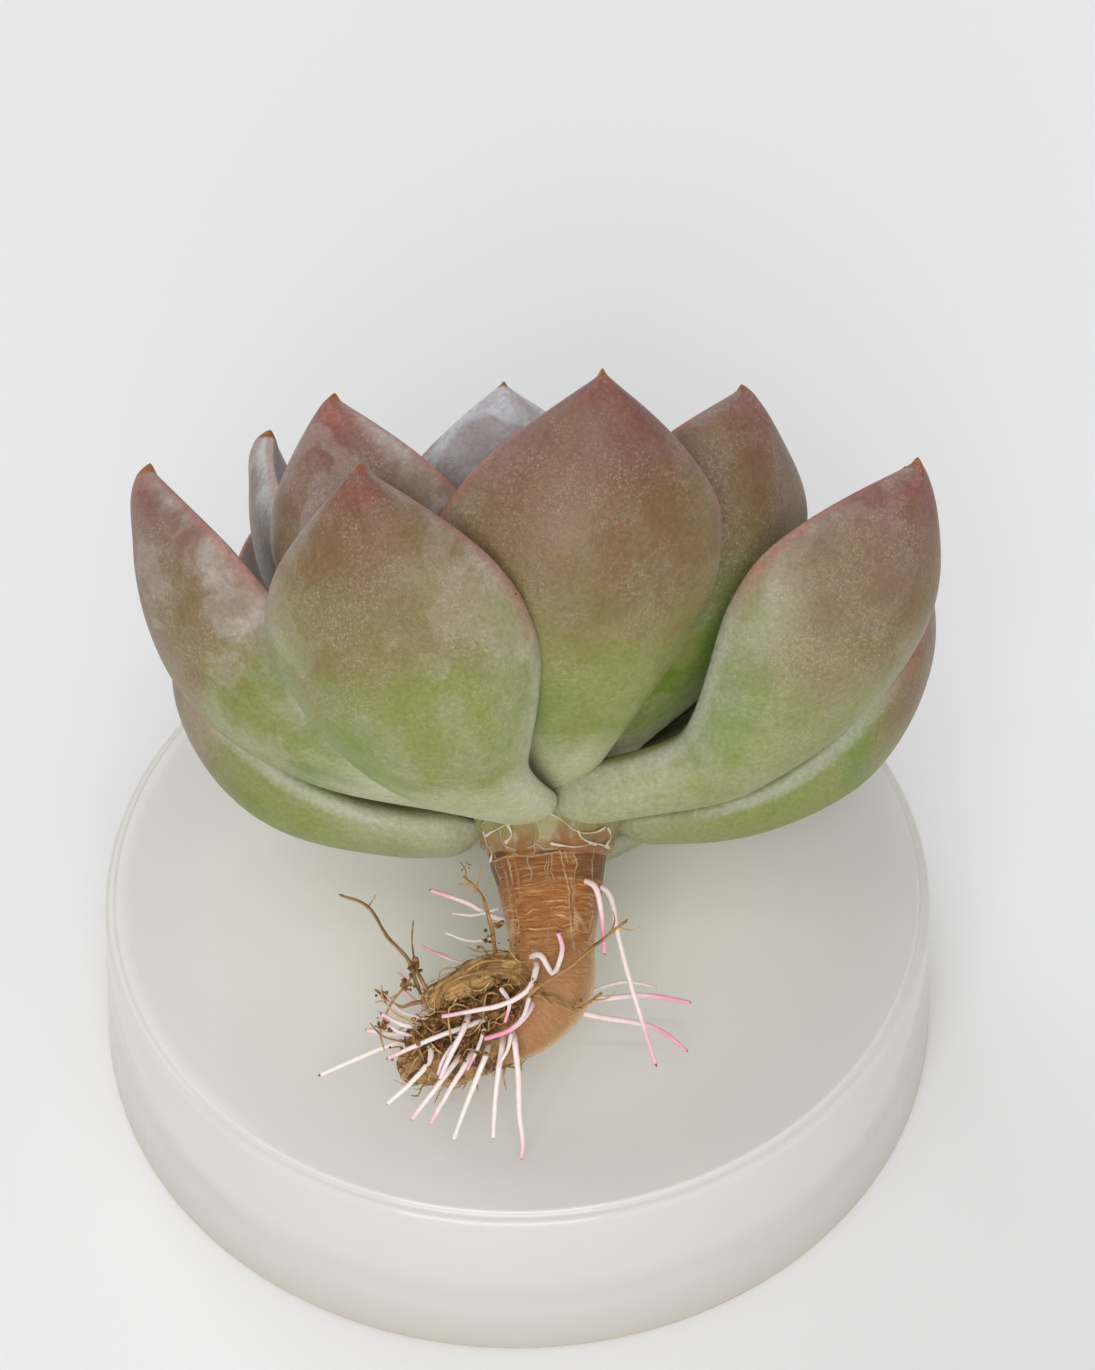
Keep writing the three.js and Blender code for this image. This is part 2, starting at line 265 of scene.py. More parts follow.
def makeLeafMaterial():
    material, tree, shader = newMaterial("leafSkin")
    place = objectPlace(tree)
    along, edge, powder, ownSeed = attribute(tree, "growth")
    bloomAmount, youth, flush, green = attribute(tree, "nature")
    seed = times(tree, ownSeed, 37.0)

    def patchy(size, level, softness, shift=0.0):  # the shift gives each effect its own pattern
        values = {"Size": size, "Seed": maths(tree, "ADD", seed, shift), "Level": level,
                  "Softness": softness}
        return useGroup(tree, patches, place, values)[0]

    # colour runs from the pale foot through green to the mauve top, with an uneven border
    drift = maths(tree, "SUBTRACT", noiseOf(tree, place, 130.0, 4.0, 0.55, seed)[0], 0.5)
    shifted = maths(tree, "ADD", along, maths(tree, "SUBTRACT", flush, 0.5))
    drifted = maths(tree, "MULTIPLY_ADD", drift, 0.36, shifted)
    skin = ramp(tree, drifted, leafFinish["stops"])

    # deep green shows in the lower middle, where the bloom is rubbed off
    body = times(tree, between(tree, along, 0.12, 0.3), between(tree, drifted, 0.6, 0.4))
    fresh = times(tree, body, patchy(13.0, 0.5, 0.07, 3.0), green)
    skin = mixed(tree, maths(tree, "MULTIPLY", fresh, 0.6, clamped=True), skin, leafFinish["deepGreen"])
    middle = times(tree, between(tree, along, 0.4, 0.5), between(tree, along, 0.85, 0.7))
    skin = mixed(tree, times(tree, patchy(4.5, 0.66, 0.05, 9.0), middle, 0.55), skin, leafFinish["scar"])

    # a pale film lies over the foot
    frayed = maths(tree, "MULTIPLY_ADD", drift, 0.5, along)
    base = maths(tree, "MULTIPLY", between(tree, frayed, 0.42, 0.22, 0.0, 0.8), powder, clamped=True)
    skin = mixed(tree, base, skin, leafFinish["footFilm"])

    # powdery bloom, broken by wiped areas with clear borders
    haze = patchy(5.0, 0.5, 0.16, 5.0)
    cover = maths(tree, "MULTIPLY_ADD", patchy(12.0, 0.5, 0.02), 0.42, times(tree, haze, 0.28))
    cover = maths(tree, "MULTIPLY_ADD", youth, 0.45, cover)
    # paler margins: partly real bloom, partly painted sheen where the leaf turns away at its sides
    sides = times(tree, between(tree, edge, 0.6, 1.0), bloomAmount)
    sides = maths(tree, "MULTIPLY_ADD", sides, haze, times(tree, sides, 0.3))
    cover = maths(tree, "MULTIPLY_ADD", cover, bloomAmount, sides, clamped=True)
    skin = mixed(tree, cover, skin, mixed(tree, youth, leafFinish["bloom"], leafFinish["youngBloom"]))

    # thin pale line along the sides, turning pink towards the tip
    rim = times(tree, between(tree, edge, 0.93, 0.995), between(tree, along, 0.1, 0.25), 0.5)
    rimShade = mixed(tree, between(tree, along, 0.5, 0.72), leafFinish["edgeFilm"], leafFinish["margin"])
    skin = mixed(tree, rim, skin, rimShade)
    upper = maths(tree, "MULTIPLY_ADD", drift, 0.14, along)
    nearTip = times(tree, between(tree, upper, 0.9, 0.95), between(tree, edge, 0.9, 0.5))
    uneven = maths(tree, "MULTIPLY_ADD", patchy(3.0, 0.46, 0.12), 0.8, 0.2)
    skin = mixed(tree, times(tree, nearTip, uneven, 0.26), skin, leafFinish["blush"])
    skin = mixed(tree, between(tree, along, 0.972, 0.984), skin, leafFinish["tip"])

    # granules, brushed lines and tiny marks
    cells = node(tree, "ShaderNodeTexVoronoi", {"Vector": place, "Scale": 4200.0}).outputs
    cellShade = node(tree, "ShaderNodeSeparateColor", {0: cells["Color"]}).outputs[0]
    dotted = times(tree, between(tree, cells["Distance"], 0.7, 0.1), cellShade)
    upward = times(tree, between(tree, along, 0.25, 0.6, 0.16, 0.36), haze)
    skin = mixed(tree, times(tree, dotted, upward), skin, leafFinish["granule"])
    skin, fine = grained(tree, skin, place, 0.45, 0.75)
    lines = useGroup(tree, rubs, place, {"Size": 7.0, "Seed": seed, "Level": 0.56})[0]
    nearFoot = between(tree, along, 0.55, 0.3, 0.08, 0.5)
    skin = mixed(tree, times(tree, lines, nearFoot), skin, leafFinish["bloom"])
    dots = useGroup(tree, specks, place, {"Spacing": 4.0, "Size": 0.05, "Share": 0.4})[0]
    skin = mixed(tree, times(tree, dots, 0.7), skin, leafFinish["speck"])
    spots = useGroup(tree, specks, place, {"Spacing": 6.0, "Size": 0.055, "Share": 0.6})[0]
    spotted = times(tree, spots, between(tree, along, 0.5, 0.6), 0.6)
    skin = mixed(tree, spotted, skin, leafFinish["blush"])

    gloss = maths(tree, "MULTIPLY_ADD", cover, 0.3, 0.34)
    height = maths(tree, "MULTIPLY_ADD", noiseOf(tree, place, 260.0, 2.0)[0], 4.0, fine)
    height = maths(tree, "MULTIPLY_ADD", dotted, 0.5, height)
    setInputs(tree, shader, {
        "Base Color": skin,
        "Roughness": maths(tree, "MULTIPLY_ADD", cellShade, 0.12, gloss),
        "Normal": relief(tree, height, 0.4, 0.00012),
        "Specular IOR Level": 0.4,
        "Subsurface Weight": 0.2,
        "Subsurface Radius": (1.0, 0.9, 0.35),
        "Subsurface Scale": 0.0016,
    })
    return material


leafSkin = makeLeafMaterial()


plant = {
    "leanBack": 55,  # degrees from upright
    "collar": (2.9, -12.3, 18.606),  # top of the bark, from the middle of the tub's closed end
    "gap": 0.3,
}
tubMiddle = (tubLow + tubHigh) / 2
collarPoint = Vector((tubMiddle.x, tubMiddle.y, tubHigh.z)) + Vector(plant["collar"]) * mm
toFrame = Matrix.Translation(collarPoint) @ Matrix.Rotation(math.radians(-plant["leanBack"]), 4, "X")
toFrame = toFrame @ Matrix.Scale(mm, 4)

core = {"collarRadius": 5.5, "height": 15.6, "tipRadius": 1.1}

growthStages = [  # order, tip radius, tip height, rise, curl, width, thickness
    (-4, 36, 19, 0, 86, 23, 6.2),
    (0, 38, 29.4, 2, 92, 25.5, 7),
    (5, 34.5, 36.8, 16, 94, 26, 6.8),
    (9, 28.5, 38.3, 30, 97, 24, 6.2),
    (14, 21, 38.4, 46, 100, 20, 5.4),
    (19, 13.5, 40, 62, 101, 14.5, 4.2),
    (24, 5, 35, 78, 98, 8.5, 3),
]

leafRule = {
    "orders": [order for order in range(-4, 25) if order != -3],
    "firstAzimuth": 335,
    "goldenAngle": 137.5,
    "attachHeight": 3.2,
    "attachStep": 0.45,
    "baseWidth": 0.25,
    "baseThickness": 3.2,
    "outerShare": 0.64,
    "cup": 0.28,
    "rootHandle": 0.46,
    "tipHandle": 0.36,
    "nibLength": 0.024,  # the brown point, as a share of the midrib
    "nibWidth": 0.05,
}

plainCharacter = {
    "turn": 0,  # degrees on the azimuth
    "reach": 1,  # scales the tip's radius
    "lift": 1,  # scales the tip's height
    "curl": 0,  # degrees that the end bends inwards
    "girth": 1,  # scales the width
    "twist": 0,  # degrees about the midrib
    "sweep": 0,  # degrees that the foot leaves the stem to one side
    "bow": 0.0,  # mm that the middle of the blade lies to one side
    "closing": 0.05,  # share of the midrib over which the foot rounds off
    "waist": 1.0,  # over 1 narrows the lower half
    "widest": 0.62,  # where along the midrib the blade is widest
    "taper": 2.3,  # lower values draw the top half to a longer point
    "heft": 1.0,  # scales the foot's thickness
    "flush": 0,  # over 0 brings the mauve further down
    "bloom": 1,  # scales the grey powder
    "green": 1,  # scales the deep green
    "powder": 0.12,  # pale film over the foot
}

leafCharacter = {  # leaves that differ from the rule
    -4: {"turn": 4, "reach": 0.83, "lift": 1.13, "flush": -0.15},
    -2: {"turn": -4, "lift": 0.98, "flush": -0.05, "bloom": 0.6, "heft": 1.3, "powder": 0.2,
         "closing": 0.1},
    -1: {"reach": 1.01, "lift": 1.13, "flush": -0.02, "green": 1.5, "bloom": 0.05, "powder": 0.0,
         "closing": 0.1},
    0: {"turn": 1.5, "lift": 0.98, "girth": 0.96, "waist": 1.2, "bow": -0.5, "sweep": 14,
        "closing": 0.12, "flush": -0.16, "bloom": 0.9, "powder": 1.0},
    1: {"reach": 0.93, "lift": 1.05},
    2: {"turn": -4.5, "reach": 1.05, "lift": 0.985, "curl": -15, "girth": 0.84, "twist": -14,
        "sweep": -46, "closing": 0.12, "flush": -0.07, "heft": 1.7, "bow": -1.5, "waist": 1.3,
        "widest": 0.66, "taper": 2.1, "bloom": 0.85},
    3: {"turn": 2, "reach": 1.02, "twist": 3, "flush": -0.04, "green": 1.3, "powder": 1.0},
    4: {"reach": 0.95, "lift": 1.05},
    5: {"girth": 0.95, "waist": 1.5, "bow": -1.4, "flush": -0.05, "bloom": 0.22, "powder": 0.9},
    7: {"reach": 1.05, "lift": 0.95, "girth": 0.9},
    8: {"turn": 8, "lift": 0.975, "girth": 0.93, "bloom": 1.6},
    10: {"turn": -2, "green": 2.4, "bloom": 0.3, "flush": -0.1, "heft": 1.5, "powder": 0.0},
    11: {"reach": 1.02, "lift": 1.03, "bloom": 1.2},
    13: {"turn": 3, "bloom": 1.2},
    16: {"lift": 0.97},
    19: {"lift": 0.94},
}


def grownAt(order):
    later = max(1, next(i for i, stage in enumerate(growthStages) if stage[0] >= order))
    before, after = growthStages[later - 1], growthStages[later]
    share = (order - before[0]) / (after[0] - before[0])
    return [blend(a, b, share) for a, b in zip(before, after)]


def coreRadius(height):
    return blend(core["collarRadius"], core["tipRadius"], clamp(height / core["height"]) ** 1.6)


def leafOutline(share, waist, widest, taper):  # width against the full width
    swell = blend(leafRule["baseWidth"], 1, smoothStep(share, 0, widest) ** waist)
    bladeEnd = 1 - leafRule["nibLength"] / 2
    past = clamp((share - widest) / (bladeEnd - widest))
    nib = leafRule["nibWidth"] * clamp((1 - share) / leafRule["nibLength"]) ** 0.8
    blade = swell * (1 - past ** taper)
    return (blade ** 3 + nib ** 3) ** (1 / 3)


def leafThickness(share, thickness, heft):
    foot = leafRule["baseThickness"] * heft
    swell = blend(foot, thickness, smoothStep(share, 0, 0.5))
    end = max(0.0, 1 - share ** 14)
    nib = 0.9 * clamp((1 - share) / leafRule["nibLength"]) ** 0.8 * smoothStep(share, 0.85, 0.96)
    return swell * (1 - 0.55 * smoothStep(share, 0.5, 0.92)) * end + nib


def bezierPoint(points, share):
    a, b, c, d = points
    rest = 1 - share
    place = a * rest ** 3 + b * (3 * rest ** 2 * share) + c * (3 * rest * share ** 2) + d * share ** 3
    slope = (b - a) * (3 * rest ** 2) + (c - b) * (6 * rest * share) + (d - c) * (3 * share ** 2)
    return place, slope.normalized()


def placesAlong(points, shares):  # points at shares of the curve's length, each with its direction
    fine = [bezierPoint(points, i / 200) for i in range(201)]
    lengths = [0.0]
    for (a, _), (b, _) in zip(fine, fine[1:]):
        lengths.append(lengths[-1] + (b - a).length)
    found, k = [], 0
    for share in shares:
        wanted = lengths[-1] * share
        while k < 199 and lengths[k + 1] < wanted:
            k += 1
        part = (wanted - lengths[k]) / (lengths[k + 1] - lengths[k])
        found.append(bezierPoint(points, (k + clamp(part)) / 200))
    return found


def makeLeaf(order, index):
    _, tipRadius, tipHeight, rise, curl, width, thickness = grownAt(order)
    own = {**plainCharacter, **leafCharacter.get(order, {})}
    attach = leafRule["attachHeight"] + leafRule["attachStep"] * order
    foot = Vector((coreRadius(attach) + plant["gap"] + 0.2, attach))
    tip = Vector((tipRadius * own["reach"], tipHeight * own["lift"]))
    chord = (tip - foot).length
    curl += own["curl"]
    rises = Vector((math.cos(math.radians(rise)), math.sin(math.radians(rise))))
    curls = Vector((math.cos(math.radians(curl)), math.sin(math.radians(curl))))
    midrib = (foot, foot + rises * chord * leafRule["rootHandle"],
              tip - curls * chord * leafRule["tipHandle"], tip)
    azimuth = math.radians(leafRule["firstAzimuth"] - leafRule["goldenAngle"] * order + own["turn"])
    chance = random.Random(order + 50)
    seed = chance.random()
    youth = smoothStep(order, 8, 14)
    bloomy = own["bloom"] * blend(0.22 + 0.18 * chance.random(), 0.75, youth)
    wobble = Vector((seed * 70, order * 3.1, 5))

    rounds, rings = (72, 76) if order < 14 else (48, 52)
    shares = [blend(i / rings, 0.5 - 0.5 * math.cos(math.pi * i / rings), 0.7) for i in range(rings + 1)]
    places = placesAlong(midrib, shares)
    bm = bmesh.new()
    bmesh.ops.create_uvsphere(bm, u_segments=rounds, v_segments=rings, radius=1)
    growth = bm.verts.layers.float_color.new("growth")
    nature = bm.verts.layers.float_color.new("nature")
    for vert in bm.verts:
        ring = round(math.acos(clamp(-vert.co.z, -1, 1)) / math.pi * rings)
        turn = math.atan2(vert.co.y, vert.co.x) if 0 < ring < rings else 0
        share = shares[ring]
        swung = azimuth + math.radians(own["sweep"]) * (1 - smoothStep(share, 0, 0.3))
        outward = Vector((math.sin(swung), -math.cos(swung), 0))
        across = Vector((math.cos(swung), math.sin(swung), 0))
        centre, slope = places[ring]
        centre = centre.copy()
        inward = Vector((-slope.y, slope.x))
        closing = math.sin(min(1.0, share / own["closing"]) * math.pi / 2) if ring else 0
        outline = leafOutline(share, own["waist"], own["widest"], own["taper"])
        halfWidth = outline * width * own["girth"] / 2 * closing
        thick = leafThickness(share, thickness, own["heft"]) * closing
        side = 1 - leafRule["outerShare"] if math.sin(turn) > 0 else leafRule["outerShare"]
        sideways = halfWidth * math.cos(turn)
        cup = leafRule["cup"] * halfWidth * smoothStep(share, 0.15, 0.6) * math.cos(turn) ** 2
        depth = thick * side * math.sin(turn) + cup
        if 0 < ring < rings:  # soft dents and swellings
            spot = Vector((share * 4.5, math.cos(turn) * 1.6, math.sin(turn))) + wobble
            depth += 0.28 * noise.noise(spot) * math.sin(turn) * smoothStep(share, 0, 0.2)
            sideways *= 1 + 0.02 * noise.noise(spot * 1.7) * math.cos(turn)
        twist = math.radians(own["twist"]) * smoothStep(share, 0, 0.6)
        lateral = sideways * math.cos(twist) - depth * math.sin(twist)
        lateral += own["bow"] * math.sin(math.pi * smoothStep(share, 0.05, 1))
        centre += inward * (depth * math.cos(twist) + sideways * math.sin(twist))
        vert.co = outward * centre.x + across * lateral + Vector((0, 0, centre.y))
        vert[growth] = (share, abs(math.cos(turn)), own["powder"], seed)
        vert[nature] = (bloomy, youth, 0.5 + own["flush"], own["green"])
    bmesh.ops.transform(bm, matrix=toFrame, verts=bm.verts)
    name = f"leaf_{index + 1:02d}"
    finishPiece(bm, "visible_" + name, leafSkin, [name])


for index, order in enumerate(leafRule["orders"]):
    makeLeaf(order, index)
print("leaves made:", len(leafRule["orders"]))


def smoothCourse(stations, count):  # evenly spaced points with their radii
    ends = [stations[0]] + list(stations) + [stations[-1]]
    knots = [Vector(station) for station in ends]
    knots[0] = knots[1] * 2 - knots[2]
    knots[-1] = knots[-2] * 2 - knots[-3]
    fine = []
    for i in range(1, len(knots) - 2):
        a, b, c, d = knots[i - 1:i + 3]
        gaps = [max((q.xyz - p.xyz).length, 1e-6) ** 0.5 for p, q in ((a, b), (b, c), (c, d))]
        out = (b - a) / gaps[0] - (c - a) / (gaps[0] + gaps[1]) + (c - b) / gaps[1]
        into = (c - b) / gaps[1] - (d - b) / (gaps[1] + gaps[2]) + (d - c) / gaps[2]
        out, into = out * gaps[1], into * gaps[1]
        for step in range(24):
            t = step / 24
            fine.append(b * (2 * t ** 3 - 3 * t ** 2 + 1) + out * (t ** 3 - 2 * t ** 2 + t)
                        + c * (3 * t ** 2 - 2 * t ** 3) + into * (t ** 3 - t ** 2))
    fine.append(knots[-2])
    lengths = [0.0]
    for p, q in zip(fine, fine[1:]):
        lengths.append(lengths[-1] + (q.xyz - p.xyz).length)
    found, k = [], 0
    for i in range(count):
        wanted = lengths[-1] * i / (count - 1)
        while k < len(fine) - 2 and lengths[k + 1] < wanted:
            k += 1
        part = (wanted - lengths[k]) / (lengths[k + 1] - lengths[k])
        found.append(fine[k].lerp(fine[k + 1], clamp(part)))
    return found, lengths[-1]


def addRod(bm, stations, rounds, rings, shape=None, seed=0.0, endRounding=1.0):
    course, length = smoothCourse(stations, rings - 1)
    slopes = []
    for i in range(len(course)):
        before, after = course[max(i - 1, 0)], course[min(i + 1, len(course) - 1)]
        slopes.append((after.xyz - before.xyz).normalized())
    sideways = [slopes[0].orthogonal().normalized()]
    for before, after in zip(slopes, slopes[1:]):
        sideways.append((before.rotation_difference(after) @ sideways[-1]).normalized())
    growth = bm.verts.layers.float_color.get("growth") or bm.verts.layers.float_color.new("growth")
    wrap = bm.loops.layers.uv.get("wrap") or bm.loops.layers.uv.new("wrap")
    made = bmesh.ops.create_uvsphere(bm, u_segments=rounds, v_segments=rings, radius=1)["verts"]
    turns, drops = {}, {}
    for vert in made:
        ring = round(math.acos(clamp(-vert.co.z, -1, 1)) / math.pi * rings)
        turn = math.atan2(vert.co.y, vert.co.x) / (2 * math.pi) if 0 < ring < rings else 0.0
        k = int(clamp(ring - 1, 0, len(course) - 1))
        reach = length * k / (len(course) - 1)
        radius = course[k].w
        nearEnd = min(reach, length - reach) / max(radius * endRounding, 1e-6)
        radius *= math.sqrt(max(0.0, 1 - (1 - min(1.0, nearEnd)) ** 2)) if nearEnd < 1 else 1
        radius = max(radius, course[k].w * 0.18)
        if ring in (0, rings):
            radius = 0
        upright = slopes[k].cross(sideways[k])
        angle = 2 * math.pi * turn
        if shape and radius:
            radius *= shape(reach, length, angle)
        vert.co = course[k].xyz + (sideways[k] * math.cos(angle) + upright * math.sin(angle)) * radius
        vert[growth] = (reach / length, turn % 1, 0, seed)
        turns[vert], drops[vert] = turn % 1, reach
    widest = max(point.w for point in course) * 2 * math.pi
    for face in {face for vert in made for face in vert.link_faces}:
        across = [turns[loop.vert] for loop in face.loops if loop.vert.co != course[0].xyz]
        seam = max(across) - min(across) > 0.5
        for loop in face.loops:
            turn = turns[loop.vert]
            loop[wrap].uv = ((turn + 1 if seam and turn < 0.5 else turn) * widest, drops[loop.vert])


barkFinish = {
    "dark": colour("6c3a08"), "warm": colour("985a1c"), "light": colour("b27c3e"),
    "pale": colour("ad8055"), "fibre": colour("b08a55"), "line": colour("d4b088"),
    "paintedSheen": colour("dcbf94"),
    "scar": colour("623800"), "soil": colour("4a3119"),
    "collar": [(0.0, colour("86562a")), (0.1, colour("8c6234")), (0.2, colour("937444")),
               (0.32, colour("8c8448")), (0.5, colour("838642")), (1.0, colour("79823a"))],
    "membrane": colour("c4b598"), "paleMembrane": colour("dbd0b8"),
}

stemShape = {
    "course": [  # x, y, z and radius from the collar round the elbow to the cut end
        (0.2, 0, -3, 4.9), (0.4, 0, -8, 4.0), (0.4, 0, -12.6, 3.7), (-1.2, 0.3, -15.4, 2.9),
        (-4.4, 0.8, -17.4, 2.3), (-8.4, 1, -19, 2.2), (-13.6, 0.8, -19.4, 1.6)],
    "flap": [(-1.6, -1.4, -11.2, 1.7), (-4.9, -0.9, -11, 1.5), (-7.2, -1.2, -12, 1.5),
             (-9.2, -1.5, -13, 1.25), (-10.6, -1.2, -14.1, 0.8)],
    "soil": [(-1.4, -1.6, -13.4, 1.2), (-4, -0.9, -14, 1.8), (-7.6, -0.6, -15.2, 1.9),
             (-11, -0.3, -16.6, 1.5), (-12.6, 0, -18, 0.9)],
    "collarReach": 15.6,  # mm of core above the collar, counted along the wrap
}


def makeBarkMaterial():
    material, tree, shader = newMaterial("bark")
    place = objectPlace(tree)
    wrap = node(tree, "ShaderNodeUVMap", uv_map="wrap").outputs[0]
    reach = node(tree, "ShaderNodeSeparateXYZ", {0: wrap}).outputs[1]
    drop = maths(tree, "SUBTRACT", reach, stemShape["collarReach"])
    sway = noiseOf(tree, wrap, 0.55, 2.0)["Color"]
    centred = node(tree, "ShaderNodeVectorMath", {0: sway, 1: (0.5, 0.5, 0.5)}, operation="SUBTRACT")
    swayed = node(tree, "ShaderNodeVectorMath", {0: centred.outputs[0], 1: (1.5, 0.9, 0.0), 2: wrap},
                  operation="MULTIPLY_ADD").outputs[0]

    striae = noiseOf(tree, stretched(tree, swayed, (0.3, 4.6, 1.0)), 1.0, 4.0, 0.62)[0]
    mottled = noiseOf(tree, wrap, 0.5, 3.0)[0]
    skin = ramp(tree, striae, [(0.3, barkFinish["dark"]), (0.46, barkFinish["warm"]),
                               (0.58, barkFinish["light"]), (0.66, barkFinish["line"])])
    skin = mixed(tree, between(tree, mottled, 0.4, 0.62, 0.0, 0.55), skin, barkFinish["warm"])

    # pale and smooth towards the elbow, with a painted sheen at its sides where the surface turns away from
    # view, fibrous beyond it
    skin = mixed(tree, between(tree, drop, 6.0, 12.5, 0.0, 0.72), skin, barkFinish["pale"])
    skin = mixed(tree, between(tree, drop, 17.0, 20.0, 0.0, 0.7), skin, barkFinish["fibre"])
    # painted sheen: paler where the bark is seen edge-on
    facing = node(tree, "ShaderNodeLayerWeight", {"Blend": 0.3}).outputs["Facing"]
    thin = times(tree, between(tree, facing, 0.15, 0.7, 0.0, 0.8), between(tree, drop, 3.0, 9.0))
    skin = mixed(tree, thin, skin, barkFinish["paintedSheen"])
    crumbs = useGroup(tree, patches, place, {"Size": 1.6, "Seed": 2.0, "Level": 0.53, "Softness": 0.04})[0]
    soiled = times(tree, crumbs, between(tree, drop, 16.0, 21.0, 0.0, 0.85))
    skin = mixed(tree, soiled, skin, barkFinish["soil"])

    # upright splits, wavy and pale
    splits = node(tree, "ShaderNodeTexVoronoi",
                  {"Vector": stretched(tree, swayed, (0.3, 0.03, 1.0)), "Scale": 1.0},
                  feature="DISTANCE_TO_EDGE").outputs["Distance"]
    lips = maths(tree, "ABSOLUTE", maths(tree, "SUBTRACT", splits, 0.03))
    broken = noiseOf(tree, wrap, 0.35, 1.0)[0]
    split = times(tree, between(tree, lips, 0.02, 0.005), between(tree, drop, 11.0, 8.0),
                  between(tree, broken, 0.42, 0.55))

    # squared scars of shed leaves, just below the collar
    settled = node(tree, "ShaderNodeMapping", {"Vector": swayed, "Location": (0.0, 1.15, 0.0)}).outputs[0]
    bricks = node(tree, "ShaderNodeTexBrick",
                  {"Vector": settled, "Scale": 1.0, "Brick Width": 2.3, "Row Height": 2.5,
                   "Mortar Size": 0.16, "Mortar Smooth": 0.9, "Color1": (0.1, 0.1, 0.1, 1),
                   "Color2": (1, 1, 1, 1), "Mortar": (0.5, 0.5, 0.5, 1)}, offset=0.3).outputs
    tone = node(tree, "ShaderNodeSeparateColor", {0: bricks["Color"]}).outputs[0]
    band = times(tree, between(tree, drop, 0.1, 0.4), between(tree, drop, 3.3, 2.9))
    scarred = times(tree, band, between(tree, tone, 0.2, 0.8, 0.35, 0.95))
    skin = mixed(tree, scarred, skin, barkFinish["scar"])
    edges = maths(tree, "MAXIMUM", times(tree, bricks["Fac"], band), split)
    skin = mixed(tree, times(tree, edges, 0.6), skin, barkFinish["line"])

    skin, fine = grained(tree, skin, place, 0.25, 0.5)
    height = maths(tree, "ADD", times(tree, striae, 1.4), times(tree, edges, 0.9))
    height = maths(tree, "MULTIPLY_ADD", fine, 0.3, height)
    setInputs(tree, shader, {
        "Base Color": skin,
        "Normal": relief(tree, height, 0.7, 0.0003),
        "Roughness": 0.42,
        "Subsurface Weight": 0.3,
        "Subsurface Radius": (1.0, 0.6, 0.25),
        "Subsurface Scale": 0.0006,
    })
    return material


def makeFibreMaterial(name, stops, dirtShare):  # dry strands, matted and dusty
    material, tree, shader = newMaterial(name)
    place = objectPlace(tree)
    wrap = node(tree, "ShaderNodeUVMap", uv_map="wrap").outputs[0]
    fibres = noiseOf(tree, stretched(tree, wrap, (2.4, 0.35, 1.0)), 1.0, 4.0, 0.7)[0]
    ownSeed = attribute(tree, "growth")[3]
    tone = maths(tree, "MULTIPLY_ADD", ownSeed, 0.3, maths(tree, "SUBTRACT", fibres, 0.15))
    skin = ramp(tree, tone, stops)
    dirt = useGroup(tree, patches, place, {"Size": 1.4, "Seed": 5.0, "Level": 0.57, "Softness": 0.03})[0]
    skin = mixed(tree, times(tree, dirt, dirtShare), skin, barkFinish["soil"])
    skin, _ = grained(tree, skin, place, 0.2, 0.6)
    setInputs(tree, shader, {
        "Base Color": skin,
        "Normal": relief(tree, fibres, 0.8, 0.0004),
        "Roughness": 0.75,
    })
    return material


def makeCollarMaterial():
    material, tree, shader = newMaterial("collarSkin")
    place = objectPlace(tree)
    rise = attribute(tree, "growth")[0]
    cloud = noiseOf(tree, place, 420.0, 3.0)[0]
    uneven = maths(tree, "MULTIPLY_ADD", maths(tree, "SUBTRACT", cloud, 0.5), 0.5, rise)
    skin = ramp(tree, uneven, barkFinish["collar"])

    # threads of torn skin, crowded near the bark
    bent = noiseOf(tree, place, 300.0, 2.0)["Color"]
    moved = node(tree, "ShaderNodeVectorMath", {0: bent, 1: (0.0016, 0.0016, 0.0016), 2: place},
                 operation="MULTIPLY_ADD").outputs[0]
    web = node(tree, "ShaderNodeTexVoronoi", {"Vector": moved, "Scale": 330.0},
               feature="DISTANCE_TO_EDGE").outputs["Distance"]
    threads = times(tree, between(tree, web, 0.05, 0.01), between(tree, cloud, 0.42, 0.6))
    low = between(tree, rise, 0.45, 0.3, 0.1, 0.5)
    skin = mixed(tree, times(tree, threads, low), skin, barkFinish["membrane"])
    height = maths(tree, "MULTIPLY_ADD", cloud, 1.2, threads)
    setInputs(tree, shader, {
        "Base Color": skin,
        "Normal": relief(tree, height, 0.7, 0.0003),
        "Roughness": 0.33,
        "Subsurface Weight": 0.45,
        "Subsurface Radius": (1.0, 0.75, 0.4),
        "Subsurface Scale": 0.0015,
    })
    return material


bark = makeBarkMaterial()
fibreBark = makeFibreMaterial(
    "fibreBark", [(0.25, colour("6b4622")), (0.42, colour("a87c46")), (0.56, colour("cda467")),
                  (0.72, colour("e6ca98"))], 0.5)
collarSkin = makeCollarMaterial()


def makeStem():
    inside = []
    for share in (1, 0.75, 0.5, 0.25, 0):
        height = share * core["height"]
        inside.append((0, 0, height, coreRadius(height)))
    bm = bmesh.new()

    def ribbed(reach, length, angle):
        low = smoothStep(reach, stemShape["collarReach"] + 14, length)
        wave = noise.noise(Vector((math.cos(angle) * 2.2, math.sin(angle) * 2.2, reach * 0.25)))
        fibres = noise.noise(Vector((math.cos(angle) * 6, math.sin(angle) * 6, reach * 0.5)))
        return 1 - 0.02 + 0.025 * wave + low * (0.16 * fibres - 0.06)

    addRod(bm, inside + stemShape["course"], 72, 150, ribbed, 0.3, 0.7)
    bmesh.ops.transform(bm, matrix=toFrame, verts=bm.verts)
    finishPiece(bm, "visible_stem", bark, ["stem"])


def makeFlap():
    bm = bmesh.new()

    def fibrous(reach, length, angle):
        wave = noise.noise(Vector((math.cos(angle) * 3, math.sin(angle) * 3, reach * 0.4)))
        folds = noise.noise(Vector((math.cos(angle) * 8, math.sin(angle) * 8, reach * 0.3)))
        return 0.9 + 0.25 * wave + 0.18 * folds

    addRod(bm, stemShape["flap"], 56, 80, fibrous, 0.6, 0.8)
    bmesh.ops.transform(bm, matrix=toFrame, verts=bm.verts)
    finishPiece(bm, "visible_bark_flap", fibreBark, ["bark_flap"])


